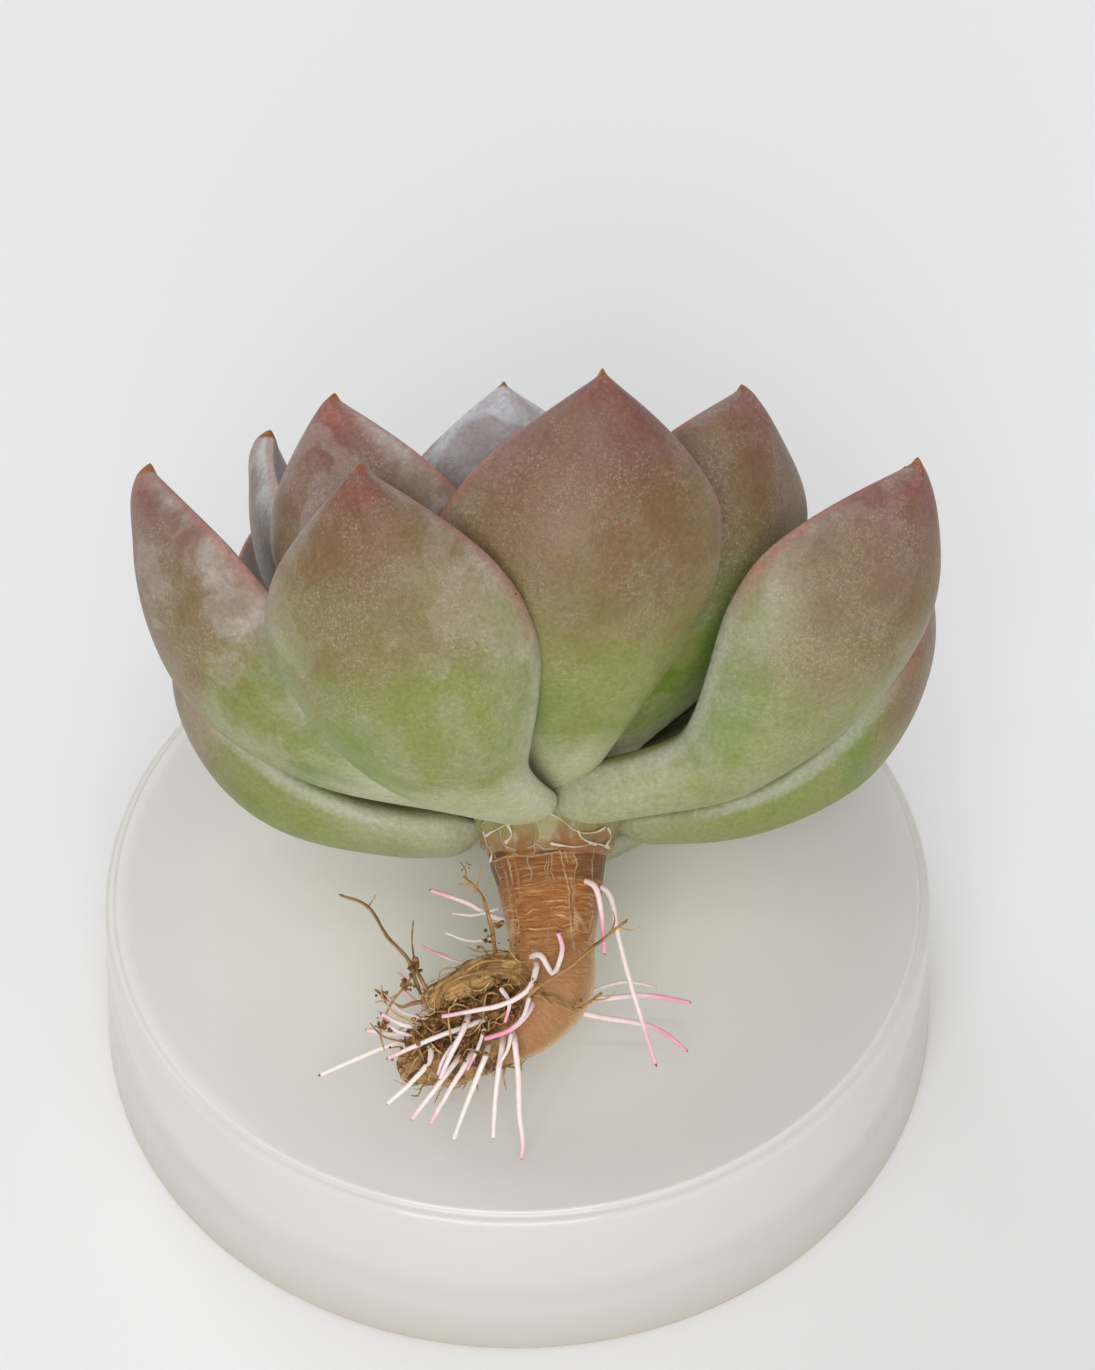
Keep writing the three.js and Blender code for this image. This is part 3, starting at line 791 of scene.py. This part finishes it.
collarShape = {
    "profile": [  # radius and height, from the bark up between the leaf feet
        (5.05, -0.75), (5.6, -0.35), (5.9, 0.3), (6.15, 1.2), (6.6, 2.3), (6.9, 3.4), (6.7, 4.6),
        (5.9, 5.9), (4.2, 7.0)],
    "steps": 96,
    "threads": [  # torn membrane, as x and height of each point on the front of the collar
        [(0.9, 4.9), (-0.9, 3.2), (-2.6, 2.3), (-4.4, 1.5), (-5.7, 1.0)],
        [(-3.6, 1.9), (-3.2, 0.9), (-3.8, 0.2)],
        [(-0.6, 3.1), (0.8, 2.4), (2.6, 1.2), (3.9, 1.1), (5.3, 1.7)],
        [(2.7, 1.3), (3.1, 0.6), (4.4, 0.1)],
        [(0.2, 0.1), (2.4, -0.2), (4.3, 0.2), (5.6, 0.0)],
        [(-5.8, 1.5), (-5.5, 0.4), (-5.0, -0.6), (-5.2, -1.4)],
        [(5.4, 1.7), (5.7, 0.9), (5.3, 0.2)],
        [(0.9, 4.9), (1.0, 5.8)],
    ],
    "threadRadius": 0.07,
    "threadEnds": 2.6,  # against that radius
    "threadMiddle": 0.8,
    "threadFlatness": 0.45,
}


def skinRadius(height):  # of the collar, where the threads lie
    return blend(5.95, 7.0, clamp(height / 3.4))


def makeCollar():
    bm = bmesh.new()
    verts = [bm.verts.new((r, 0, z)) for r, z in collarShape["profile"]]
    edges = [bm.edges.new(pair) for pair in zip(verts, verts[1:])]
    bmesh.ops.spin(bm, geom=verts + edges, cent=(0, 0, 0), axis=(0, 0, 1), angle=2 * math.pi,
                   steps=collarShape["steps"], use_merge=True)
    rims = [edge for edge in bm.edges if edge.is_boundary]
    bmesh.ops.holes_fill(bm, edges=rims, sides=0)
    bmesh.ops.subdivide_edges(bm, edges=[e for e in bm.edges if e.is_contiguous and len(e.link_faces) == 2
                                         and all(len(f.verts) == 4 for f in e.link_faces)],
                              cuts=2, use_grid_fill=True)
    growth = bm.verts.layers.float_color.new("growth")
    low, high = collarShape["profile"][0][1], collarShape["profile"][-1][1]
    for vert in bm.verts:
        lump = noise.noise(vert.co * 0.55) * 0.3 + noise.noise(vert.co * 1.6) * 0.12
        vert[growth] = ((vert.co.z - low) / (high - low), 0, 0, 0.5)
        flat = Vector((vert.co.x, vert.co.y, 0))
        if flat.length > 5.2:
            vert.co += flat.normalized() * lump
    bmesh.ops.transform(bm, matrix=toFrame, verts=bm.verts)
    finishPiece(bm, "collar_tissue", collarSkin)


def makeMembranes():
    bm = bmesh.new()
    for number, points in enumerate(collarShape["threads"]):
        stations = []
        for i, (x, z) in enumerate(points):
            y = -math.sqrt(max(0.3, skinRadius(z) ** 2 - x ** 2))
            spread = collarShape["threadMiddle" if 0 < i < len(points) - 1 else "threadEnds"]
            stations.append((x, y, z, collarShape["threadRadius"] * spread))

        def ragged(reach, length, angle, number=number):
            return 1 + 0.9 * noise.noise(Vector((reach * 1.3, number * 7.7, math.cos(angle))))

        addRod(bm, stations, 10, 40, ragged, 0.5)
    for vert in bm.verts:  # pressed flat against the collar
        out = Vector((vert.co.x, vert.co.y, 0))
        lift = skinRadius(vert.co.z) - out.length
        vert.co += out.normalized() * lift * (1 - collarShape["threadFlatness"])
    bmesh.ops.transform(bm, matrix=toFrame, verts=bm.verts)
    finishPiece(bm, "collar_membrane", membraneSkin)


def makeMembraneMaterial():
    material, tree, shader = newMaterial("membrane")
    cloud = noiseOf(tree, objectPlace(tree), 900.0, 3.0)[0]
    setInputs(tree, shader, {
        "Base Color": mixed(tree, cloud, barkFinish["paleMembrane"], barkFinish["membrane"]),
        "Normal": relief(tree, cloud, 0.6, 0.0002),
        "Roughness": between(tree, cloud, 0.3, 0.7, 0.25, 0.5),
        "Subsurface Weight": 0.3,
        "Subsurface Radius": (1.0, 0.85, 0.7),
        "Subsurface Scale": 0.0006,
    })
    return material


membraneSkin = makeMembraneMaterial()
makeStem()
makeFlap()
makeCollar()
makeMembranes()
print("stem and collar made")


newRootCourses = [  # x, y, z of each point, from the stem outwards
    [(-2.9, -3.1, -17.6), (-2.6, -2.6, -20.3), (-2.5, -0.6, -23.9), (-2.2, 1.2, -26.6), (-2.4, 2.2, -27.8)],
    [(-4.1, -2.4, -18.1), (-4.6, -1.5, -21.6), (-4.9, 1, -26)],
    [(-5.6, -2.4, -18.8), (-6.9, -1.6, -22), (-8.5, 1.5, -26.1)],
    [(-7, -2, -18.9), (-8.6, -1.6, -21.4), (-10.6, 0.5, -24.7)],
    [(-8.4, -1.7, -19.4), (-10.4, -1.4, -22), (-12.2, -0.4, -24.3)],
    [(-10.5, -1.6, -18.9), (-12.2, -1.8, -21), (-14.4, -0.8, -22.9)],
    [(-7.4, -3.9, -16.2), (-8.6, -4, -18.6), (-9.6, -3.4, -20.8)],
    [(-6.2, -2.2, -15.6), (-10, -2.8, -17), (-14.4, -2.3, -18.9)],
    [(-10.6, 2, -16.2), (-15.5, 2.8, -18), (-20.8, 3, -20.3)],
    [(-1, -4.3, -11), (-1.7, -4.7, -12.8), (-3.9, -4.5, -14.1), (-6.2, -3.8, -14.6), (-9.6, -3.4, -15.2)],
    [(-2, -3.9, -15.2), (-3.4, -4, -16.4), (-5.7, -3.5, -17.2)],
    [(-0.6, -4.4, -9.8), (0.5, -4.8, -11.4), (1.3, -5, -9.2), (0.9, -5.1, -7.7)],
    [(4.2, -4, -3.6), (4.8, -3.8, -5.9), (5.1, -3.3, -9.7)],
    [(5.4, -0.9, -3.9), (6.4, 0, -8), (7.8, 1.2, -13), (9.9, 3.2, -19.5)],
    [(4.5, 1.2, -13.4), (9, 3.6, -13), (13.2, 5.6, -13.6)],
    [(4.1, 1.4, -14.9), (10, 5, -16), (12.9, 7, -18)],
    [(-4.7, 2, -6), (-7.4, 2.6, -4.6), (-10.8, 3, -3.4)],
    [(-7.2, 1, -15.4), (-10.6, 1.2, -14.6), (-13.2, 0.6, -12.6)],
    [(-9, -0.4, -16.1), (-12.6, -1, -15.9), (-15, -1.3, -14.8)],
    [(-11.4, 0.4, -16.4), (-14, 0.2, -16.6), (-16.4, 0, -16.2)],
]

oldRootCourses = [
    [(-11.6, -1, -12.6), (-12.6, -0.9, -9.9), (-14.4, -0.6, -8), (-16.2, -0.2, -5.2), (-18.9, 0.4, -4)],
    [(-12.2, -0.6, -13.9), (-13.2, -0.4, -14.2), (-15.6, -0.2, -12.6)],
    [(-5.2, -1.6, -6.4), (-6, -2.4, -4.2), (-7.6, -2.8, -2.6)],
    [(-0.8, -6, -12.6), (1.8, -5.9, -11), (4.4, -4.9, -8.8), (7.2, -3.6, -6.5)],
    [(0.4, -4.2, -13.6), (2.4, -3.9, -14.6), (4.9, -2.6, -13)],
]

rootFinish = {
    "newRadius": 0.3, "oldRadius": 0.2, "tipShare": 0.62,
    "white": colour("ece2da"), "blush": colour("ebc9cf"), "pink": colour("e590ac"),
    "cap": colour("5a3526"), "old": colour("c3955a"), "oldDark": colour("704a25"),
    "pinkness": [0.45, 0.2, 0.2, 0.5, 0.4, 0.2, 0.4, 0.45, 0.1, 0.5, 0.95, 0.6, 0.85, 0.6, 0.8, 0.8,
                 0.6, 0.5, 0.5, 0.4],
}


def makeNewRootMaterial():
    material, tree, shader = newMaterial("newRoot")
    along, _, _, pinkness = attribute(tree, "growth")
    start = maths(tree, "MULTIPLY_ADD", pinkness, -0.6, 1.0)
    share = times(tree, between(tree, along, start, maths(tree, "ADD", start, 0.25)), pinkness)
    skin = mixed(tree, times(tree, pinkness, 0.7), rootFinish["white"], rootFinish["blush"])
    skin = mixed(tree, share, skin, rootFinish["pink"])
    skin = mixed(tree, between(tree, along, 0.975, 0.99), skin, rootFinish["cap"])
    skin, fine = grained(tree, skin, objectPlace(tree), 0.5, 0.3)
    setInputs(tree, shader, {
        "Base Color": skin,
        "Normal": relief(tree, fine, 0.2, 0.0001),
        "Roughness": 0.36,
        "Subsurface Weight": 0.6,
        "Subsurface Radius": (1.0, 0.6, 0.6),
        "Subsurface Scale": 0.0006,
    })
    return material


newRoot = makeNewRootMaterial()
oldRoot = makeFibreMaterial(
    "oldRoot", [(0.25, rootFinish["oldDark"]), (0.5, rootFinish["old"]), (0.75, colour("dcb67c"))], 0.4)

lumpCentres = []
for stations in (stemShape["course"], stemShape["flap"], stemShape["soil"]):
    fineCourse, _ = smoothCourse(stations, 30)
    lumpCentres += fineCourse


def rooted(course):  # the course with one more point, just inside what it grows from
    first = Vector(course[0])
    nearest = min(lumpCentres, key=lambda point: (point.xyz - first).length)
    inside = nearest.xyz + (first - nearest.xyz).normalized() * nearest.w * 0.8
    inside -= (Vector(course[1]) - first).normalized() * 0.9
    return [tuple(inside)] + list(course)


def addRoot(bm, course, radius, seed, knobbly, rounds=16, rings=60):
    last = len(course) - 1
    stations = []
    for i, (x, y, z) in enumerate(course):
        stations.append((x, y, z, radius * blend(1, rootFinish["tipShare"], i / last)))

    def uneven(reach, length, angle):
        spot = Vector((reach * 0.9, math.cos(angle) * 0.6, seed * 40 + math.sin(angle) * 0.6))
        return 1 + knobbly * noise.noise(spot)

    addRod(bm, stations, rounds, rings, uneven, seed)


def makeRoot(course, radius, name, material, seed, knobbly):
    bm = bmesh.new()
    addRoot(bm, rooted(course), radius, seed, knobbly)
    bmesh.ops.transform(bm, matrix=toFrame, verts=bm.verts)
    finishPiece(bm, "visible_" + name, material, [name])


for i, course in enumerate(newRootCourses):
    makeRoot(course, rootFinish["newRadius"], f"new_root_{i + 1:02d}", newRoot,
             rootFinish["pinkness"][i], 0.15)
for i, course in enumerate(oldRootCourses):
    makeRoot(course, rootFinish["oldRadius"], f"old_root_{i + 1}", oldRoot, 0.1 * i, 0.4)
print("roots made:", len(newRootCourses) + len(oldRootCourses))


tangle = {
    "rootlets": [  # x, y, z of each point, then the radius
        ([(-12, -1, -10), (-12.2, -1, -8.4), (-12.1, -0.9, -6.4)], 0.1),
        ([(-11.8, -1, -11), (-13, -1.2, -12.6), (-14.2, -1, -14.2), (-15, -0.8, -16.4),
          (-14.6, -0.6, -18.2)], 0.12),
        ([(-12.4, -0.8, -12.2), (-14, -0.5, -13.4), (-15.6, -0.3, -13.8)], 0.1),
        ([(-10.6, -1.4, -13), (-11.8, -1.2, -11), (-12.6, -0.9, -9.8)], 0.2),
        ([(-6.6, -2.6, -4.2), (-6.1, -2.6, -2.6), (-5.9, -2.6, -1.6)], 0.09),
        ([(-7, -2.7, -3.4), (-8.1, -2.8, -3.3)], 0.08),
        ([(-7.3, -2.7, -3), (-7.4, -2.8, -1.9), (-7.9, -2.9, -1.3)], 0.08),
        ([(-16.2, -0.2, -5.2), (-15.5, -0.2, -4.1)], 0.08),
        ([(6.2, -4.2, -7.3), (7.6, -3.8, -7.5), (8.3, -3.7, -7.2)], 0.08),
        ([(5.6, -4.5, -7.9), (6, -4.2, -6.6), (5.8, -4.1, -5.8)], 0.08),
        ([(3.9, -3.6, -13.8), (5.4, -3.2, -13.5), (6.1, -3, -12.9)], 0.09),
        ([(-9.8, -2.9, -14.6), (-9.3, -3, -12.6), (-6.6, -3.3, -11.4), (-3.4, -4, -11.2),
          (-1.6, -4.6, -12.4), (0.4, -4.5, -14.2)], 0.26),
        ([(-8.6, -2.9, -12.2), (-6, -3.2, -10.4), (-3.6, -3.9, -10.2)], 0.16),
        ([(-11.2, -1.2, -15.8), (-13.4, -1.4, -15), (-14.8, -1.2, -13.4), (-14.9, -1.1, -12.2)], 0.1),
        ([(-12.8, -0.6, -17.4), (-14.8, -0.8, -16.8), (-16, -0.6, -15.6)], 0.1),
    ],
    "paleRootlets": [
        ([(-4.4, 0.6, -8), (-7, 1, -8.2), (-9.4, 1.4, -7.4)], 0.16),
        ([(-4.2, 1, -9.6), (-7.2, 1.4, -10), (-10, 1.8, -9.2)], 0.18),
        ([(-6.4, 0.6, -10.6), (-9, 1, -9.8), (-11.4, 1.4, -8.6)], 0.16),
        ([(-4.4, 1.6, -5.2), (-6.6, 2, -5.8), (-8.8, 2.4, -5.6)], 0.15),
        ([(-9.6, 0.6, -13), (-11.8, 1, -12.4), (-13.6, 1.4, -11)], 0.16),
        ([(-10.4, -0.6, -15.4), (-13.2, -0.6, -14.6), (-14.6, -0.4, -13)], 0.2),
        ([(-11.6, -0.6, -17), (-13.8, -0.9, -16.2), (-15.2, -0.8, -14.6)], 0.2),
        ([(-8, -2.6, -17.2), (-9.2, -3.2, -18.8), (-9.8, -3, -20.4)], 0.2),
        ([(-5.6, -3, -16.2), (-6.2, -3.6, -18), (-7.2, -3.4, -20)], 0.2),
        ([(-3.2, -3.2, -16.6), (-3.6, -3.4, -18.2), (-4.6, -3, -19.8)], 0.2),
        ([(-4.2, -3.4, -12.6), (-3.4, -4.2, -14), (-3.8, -4, -15.8)], 0.22),
        ([(4, 2.2, -12.6), (7, 3.4, -11.8), (10, 4.6, -12.2)], 0.18),
        ([(-1.6, -3.9, -13.4), (-2.2, -4.2, -15.2), (-3.8, -3.9, -16.8)], 0.2),
    ],
    "fibres": 130,
    "crumbGroups": [  # x, y, z, how far they scatter, how many, how big
        (-4, -2.3, -13.6, 1.4, 46, 0.42), (-7.4, -2.1, -15, 1.5, 44, 0.42),
        (-10.6, -1.8, -16.4, 1.4, 36, 0.4), (-12, -1, -10.6, 0.6, 22, 0.34),
        (-12.6, -1, -12.4, 0.7, 12, 0.28), (-14.6, -0.9, -15.6, 0.8, 12, 0.28),
        (-4.5, -2.6, -7, 0.6, 12, 0.26), (-5.4, -2.8, -8.2, 0.7, 8, 0.26),
        (-7.4, -2.8, -1.8, 0.5, 6, 0.2), (-1.4, -4.4, -12.2, 0.7, 10, 0.26),
        (-6.5, -2.8, -17.6, 1.3, 20, 0.32), (-3, -4.2, -9, 1.2, 6, 0.18),
        (-12.4, -1.6, -19.2, 1.3, 18, 0.32), (-9.4, -2.4, -13.4, 0.9, 10, 0.26),
        (2.6, -4.4, -14.2, 0.6, 5, 0.2), (-14.8, -0.8, -13.2, 0.7, 9, 0.24)],
}


def makeRootlets():
    bm = bmesh.new()
    for i, (course, radius) in enumerate(tangle["rootlets"]):
        addRoot(bm, course, radius, (i * 0.37) % 1, 0.5, 10, 30)
    bmesh.ops.transform(bm, matrix=toFrame, verts=bm.verts)
    finishPiece(bm, "old_rootlets", oldRoot)
    bm = bmesh.new()
    for i, (course, radius) in enumerate(tangle["paleRootlets"]):
        addRoot(bm, course, radius, 0.25 + (i * 0.29) % 0.6, 0.2, 12, 30)
    bmesh.ops.transform(bm, matrix=toFrame, verts=bm.verts)
    finishPiece(bm, "new_rootlets", newRoot)


def makeFibres():  # short dry strands matted over the lower lobes
    chance = random.Random(41)
    bm = bmesh.new()
    lobes = []
    for stations in (stemShape["flap"], stemShape["soil"], stemShape["course"][3:]):
        lobes.append(smoothCourse(stations, 24)[0])
    for i in range(tangle["fibres"]):
        lobe = lobes[i % 3]
        place = chance.randrange(2, 22)
        centre = lobe[place]
        slope = (lobe[place + 1].xyz - lobe[place - 1].xyz).normalized()
        around = Vector((chance.uniform(-1, 1), chance.uniform(-1, 0.25), chance.uniform(-1, 1)))
        around = (around - slope * around.dot(slope)).normalized()
        stray = 1 if chance.random() < 0.72 else 2.6
        length = chance.uniform(1.2, 3.4)
        points = []
        for step in range(4):
            lift = centre.w * (1.0 + 0.1 * step * stray)
            turned = Matrix.Rotation(0.5 * step * chance.uniform(-1, 1), 3, slope) @ around
            points.append(centre.xyz + turned * lift + slope * length * (step / 3 - 0.4))
        addRoot(bm, [tuple(p) for p in points], chance.uniform(0.05, 0.13), chance.random(), 0.3, 5, 9)
    bmesh.ops.transform(bm, matrix=toFrame, verts=bm.verts)
    finishPiece(bm, "dry_fibres", fibreBark)


def makeSoilMaterial():
    material, tree, shader = newMaterial("soil")
    clods = noiseOf(tree, objectPlace(tree), 1600.0, 4.0)[0]
    stops = [(0.3, colour("3a2412")), (0.46, colour("6b4521")), (0.6, colour("9a6e3c")),
             (0.75, colour("c59b63"))]
    setInputs(tree, shader, {
        "Base Color": ramp(tree, clods, stops),
        "Normal": relief(tree, clods, 0.9, 0.0004),
        "Roughness": between(tree, clods, 0.3, 0.7, 0.95, 0.6),
    })
    return material


def makeSoil():
    chance = random.Random(17)
    bm = bmesh.new()
    for x, y, z, scatter, count, size in tangle["crumbGroups"]:
        for _ in range(count):
            spot = Vector([chance.gauss(0, scatter / 2) for _ in range(3)])
            radius = size * chance.uniform(0.35, 1)
            made = bmesh.ops.create_icosphere(bm, subdivisions=1, radius=radius)["verts"]
            turned = Matrix.Rotation(chance.uniform(0, 6), 3, (1, 0.4, 0.2))
            bmesh.ops.rotate(bm, verts=made, matrix=turned)
            bmesh.ops.scale(bm, vec=[chance.uniform(0.6, 1.2) for _ in range(3)], verts=made)
            bmesh.ops.translate(bm, vec=Vector((x, y, z)) + spot, verts=made)
            for vert in made:
                vert.co += noise.noise_vector(vert.co * 3) * size * 0.25
    bmesh.ops.transform(bm, matrix=toFrame, verts=bm.verts)
    finishPiece(bm, "soil_crumbs", soil)
    bm = bmesh.new()

    def clodded(reach, length, angle):
        big = noise.noise(Vector((math.cos(angle) * 1.6, math.sin(angle) * 1.6, reach * 0.7)))
        small = noise.noise(Vector((math.cos(angle) * 5, math.sin(angle) * 5, reach * 2.4)))
        return 0.85 + 0.3 * big + 0.25 * small

    addRod(bm, stemShape["soil"], 64, 110, clodded, 0.2)
    bmesh.ops.transform(bm, matrix=toFrame, verts=bm.verts)
    finishPiece(bm, "soil_lump", soil)


soil = makeSoilMaterial()
makeRootlets()
makeFibres()
makeSoil()
print("tangle made")


tubShape = {
    "topRadius": 40, "footRadius": 41.3, "wall": 1.6, "roof": 1.8,
    "rim": [(1.0, 0.0, 0.35), (0.0, 0.45, 0.7)],  # mm in from the wall, mm down, radius of each step
    "beadHeight": 9, "beadDepth": 1.0, "beadSpan": 3.2, "footThickness": 2.4, "footSpan": 2.6,
    "steps": 160,
}


tubFinish = {
    "wall": [  # from the foot to the closed end: dusty at the foot, a faint band where the inner bead lies, and the whole wall a shade darker than the closed end as painted shade on the sides
        (0.0, colour("c4a986")), (0.03, colour("ccc5b9")), (0.12, colour("cfcbc3")),
        (0.3, colour("d2cfc9")), (0.42, colour("cbc8c1")), (0.55, colour("d2cfc9")),
        (0.9, colour("d0cdc7")), (0.97, colour("cfccc6"))],
    "outerEnd": colour("d6d4cf"),
    # painted light: the middle of the closed end is painted paler, under the plant, to lift the plant's
    # shadow there
    "paintedLightEnd": colour("fbf8f1"),
    "paintedLightReach": (37 * mm, 10 * mm),  # from the middle: where it begins, and where it is full
    "glossReach": (37.5 * mm, 38.5 * mm),
    "cloud": colour("e0dbd0"),
    "dust": colour("8a7a68"),
}


def makeTubMaterial():
    material, tree, shader = newMaterial("frostedTub")
    place = objectPlace(tree)
    across, deep, up = node(tree, "ShaderNodeSeparateXYZ", {0: place}).outputs
    # painted shade: the wall is painted darker than the closed end, as if its sides were shaded
    skin = ramp(tree, maths(tree, "DIVIDE", up, tubHigh.z), tubFinish["wall"])

    # painted light: the closed end is painted paler towards its middle, under the plant, to lift the plant's
    # shadow there
    level = node(tree, "ShaderNodeCombineXYZ", {0: across, 1: deep}).outputs[0]
    reach = node(tree, "ShaderNodeVectorMath", {0: level}, operation="LENGTH").outputs["Value"]
    paintedLight = between(tree, reach, *tubFinish["paintedLightReach"])
    closedEnd = mixed(tree, paintedLight, tubFinish["outerEnd"], tubFinish["paintedLightEnd"])
    top = between(tree, up, tubHigh.z - 0.7 * mm, tubHigh.z - 0.2 * mm)
    skin = mixed(tree, top, skin, closedEnd)
    cloud = useGroup(tree, patches, place, {"Size": 22.0, "Seed": 4.0, "Level": 0.5, "Softness": 0.2})[0]
    skin = mixed(tree, times(tree, cloud, 0.12), skin, tubFinish["cloud"])
    dust = useGroup(tree, specks, place, {"Spacing": 9.0, "Size": 0.03, "Share": 0.35})[0]
    skin = mixed(tree, times(tree, dust, 0.5), skin, tubFinish["dust"])
    fine = useGroup(tree, grain, place, {"Size": 1.2, "Contrast": 0.1})["Height"]
    setInputs(tree, shader, {
        "Base Color": skin,
        "Normal": relief(tree, fine, 0.06, 0.0003),
        "Roughness": 0.55,
        "Specular IOR Level": 0.3,
        "Coat Weight": between(tree, reach, *tubFinish["glossReach"], 0.15, 0.8),  # satin end, glossy edge
        "Coat Roughness": 0.07,
        "Subsurface Weight": 0.15,
        "Subsurface Radius": (1.0, 0.97, 0.93),
        "Subsurface Scale": 0.004,
    })
    return material


def makeTub():
    t = tubShape
    height = (tubHigh.z - tubLow.z) / mm

    def outer(z):
        return blend(t["footRadius"], t["topRadius"], z / height)

    def inner(z):
        return outer(z) - t["wall"]

    half = t["beadSpan"] / 2
    profile = [(0, height)]
    for start, drop, radius in t["rim"]:  # two rounded steps down to the wall
        for step in range(7):
            turn = math.radians(90 - 90 * step / 6)
            profile.append((t["topRadius"] - start - radius + radius * math.cos(turn),
                            height - drop - radius + radius * math.sin(turn)))
    profile += [(t["footRadius"], 0.3), (t["footRadius"] - 0.3, 0),
                (t["footRadius"] - t["footThickness"] + 0.3, 0), (t["footRadius"] - t["footThickness"], 0.3),
                (inner(t["footSpan"]) - (t["footThickness"] - t["wall"]), t["footSpan"]),
                (inner(t["footSpan"] + 1), t["footSpan"] + 1)]
    for step in range(9):
        turn = math.pi * step / 8
        z = t["beadHeight"] - half * math.cos(turn)
        profile.append((inner(z) - t["beadDepth"] * math.sin(turn) ** 2, z))
    profile += [(inner(height - t["roof"] - 1), height - t["roof"] - 1),
                (inner(height - t["roof"]) - 0.8, height - t["roof"]), (0, height - t["roof"])]
    bm = bmesh.new()
    verts = [bm.verts.new((r, 0, z)) for r, z in profile]
    edges = [bm.edges.new(pair) for pair in zip(verts, verts[1:])]
    bmesh.ops.spin(bm, geom=verts + edges, cent=(0, 0, 0), axis=(0, 0, 1), angle=2 * math.pi,
                   steps=t["steps"], use_merge=True)
    bmesh.ops.remove_doubles(bm, verts=bm.verts, dist=1e-4)
    base = Matrix.Translation((tubMiddle.x, tubMiddle.y, tubLow.z)) @ Matrix.Scale(mm, 4)
    bmesh.ops.transform(bm, matrix=base, verts=bm.verts)
    finishPiece(bm, "visible_tub", frostedTub, ["tub"])


frostedTub = makeTubMaterial()
makeTub()
print("tub made")


studio = {
    "floorSize": 4.0, "floor": colour("e9e9e9"), "world": (1.0, 1.0, 1.01, 1.0), "worldStrength": 0.55,
    "keyPlace": (-1.4, 2.0, 2.4), "keySize": 2.0, "keyPower": 22.0,
    "fillPlace": (-0.25, -3.0, 2.0), "fillSize": 2.6, "fillPower": 80.0,
    "stripPlace": (0.0, -1.2, 3.0), "stripSize": 4.0, "stripDepth": 0.05, "stripPower": 9.0,
    "lens": 89.34, "elevation": 47.5, "distance": 347, "look": (2.9, 25.0, 0.0),
}


def makeStudio():
    bm = bmesh.new()
    bmesh.ops.create_grid(bm, x_segments=1, y_segments=1, size=studio["floorSize"] / 2)
    bmesh.ops.translate(bm, vec=(0, 0, tubLow.z), verts=bm.verts)
    mesh = bpy.data.meshes.new("floor")
    bm.to_mesh(mesh)
    bm.free()
    floor = bpy.data.objects.new("floor", mesh)
    bpy.context.scene.collection.objects.link(floor)
    material, tree, shader = newMaterial("floorPaper")
    shader.inputs["Base Color"].default_value = studio["floor"]
    shader.inputs["Roughness"].default_value = 0.9
    shader.inputs["Specular IOR Level"].default_value = 0.1
    mesh.materials.append(material)

    world = bpy.data.worlds.new("studio")
    bpy.context.scene.world = world
    world.use_nodes = True
    world.node_tree.nodes["Background"].inputs[0].default_value = studio["world"]
    world.node_tree.nodes["Background"].inputs[1].default_value = studio["worldStrength"]
    for name in ("key", "fill", "strip"):
        light = bpy.data.lights.new(name, "AREA")
        light.size = studio[name + "Size"]
        if name == "strip":  # draws the thin line of light along the tub's edge
            light.shape = "RECTANGLE"
            light.size_y = studio["stripDepth"]
        light.energy = studio[name + "Power"]
        lamp = bpy.data.objects.new(name, light)
        lamp.location = studio[name + "Place"]
        lamp.rotation_euler = (-Vector(studio[name + "Place"])).to_track_quat("-Z", "Y").to_euler()
        bpy.context.scene.collection.objects.link(lamp)

    camera = bpy.data.objects.new("camera", bpy.data.cameras.new("camera"))
    camera.data.lens = studio["lens"]
    tilt = math.radians(studio["elevation"])
    look = Vector((tubMiddle.x, tubMiddle.y, tubHigh.z)) + Vector(studio["look"]) * mm
    back = Vector((0, -math.cos(tilt), math.sin(tilt)))
    camera.location = look + back * studio["distance"] * mm
    camera.rotation_euler = (-back).to_track_quat("-Z", "Y").to_euler()
    camera.data.clip_start = 0.01
    bpy.context.scene.collection.objects.link(camera)
    bpy.context.scene.camera = camera
    bpy.context.scene.view_settings.view_transform = "Standard"


makeStudio()
print("studio ready")
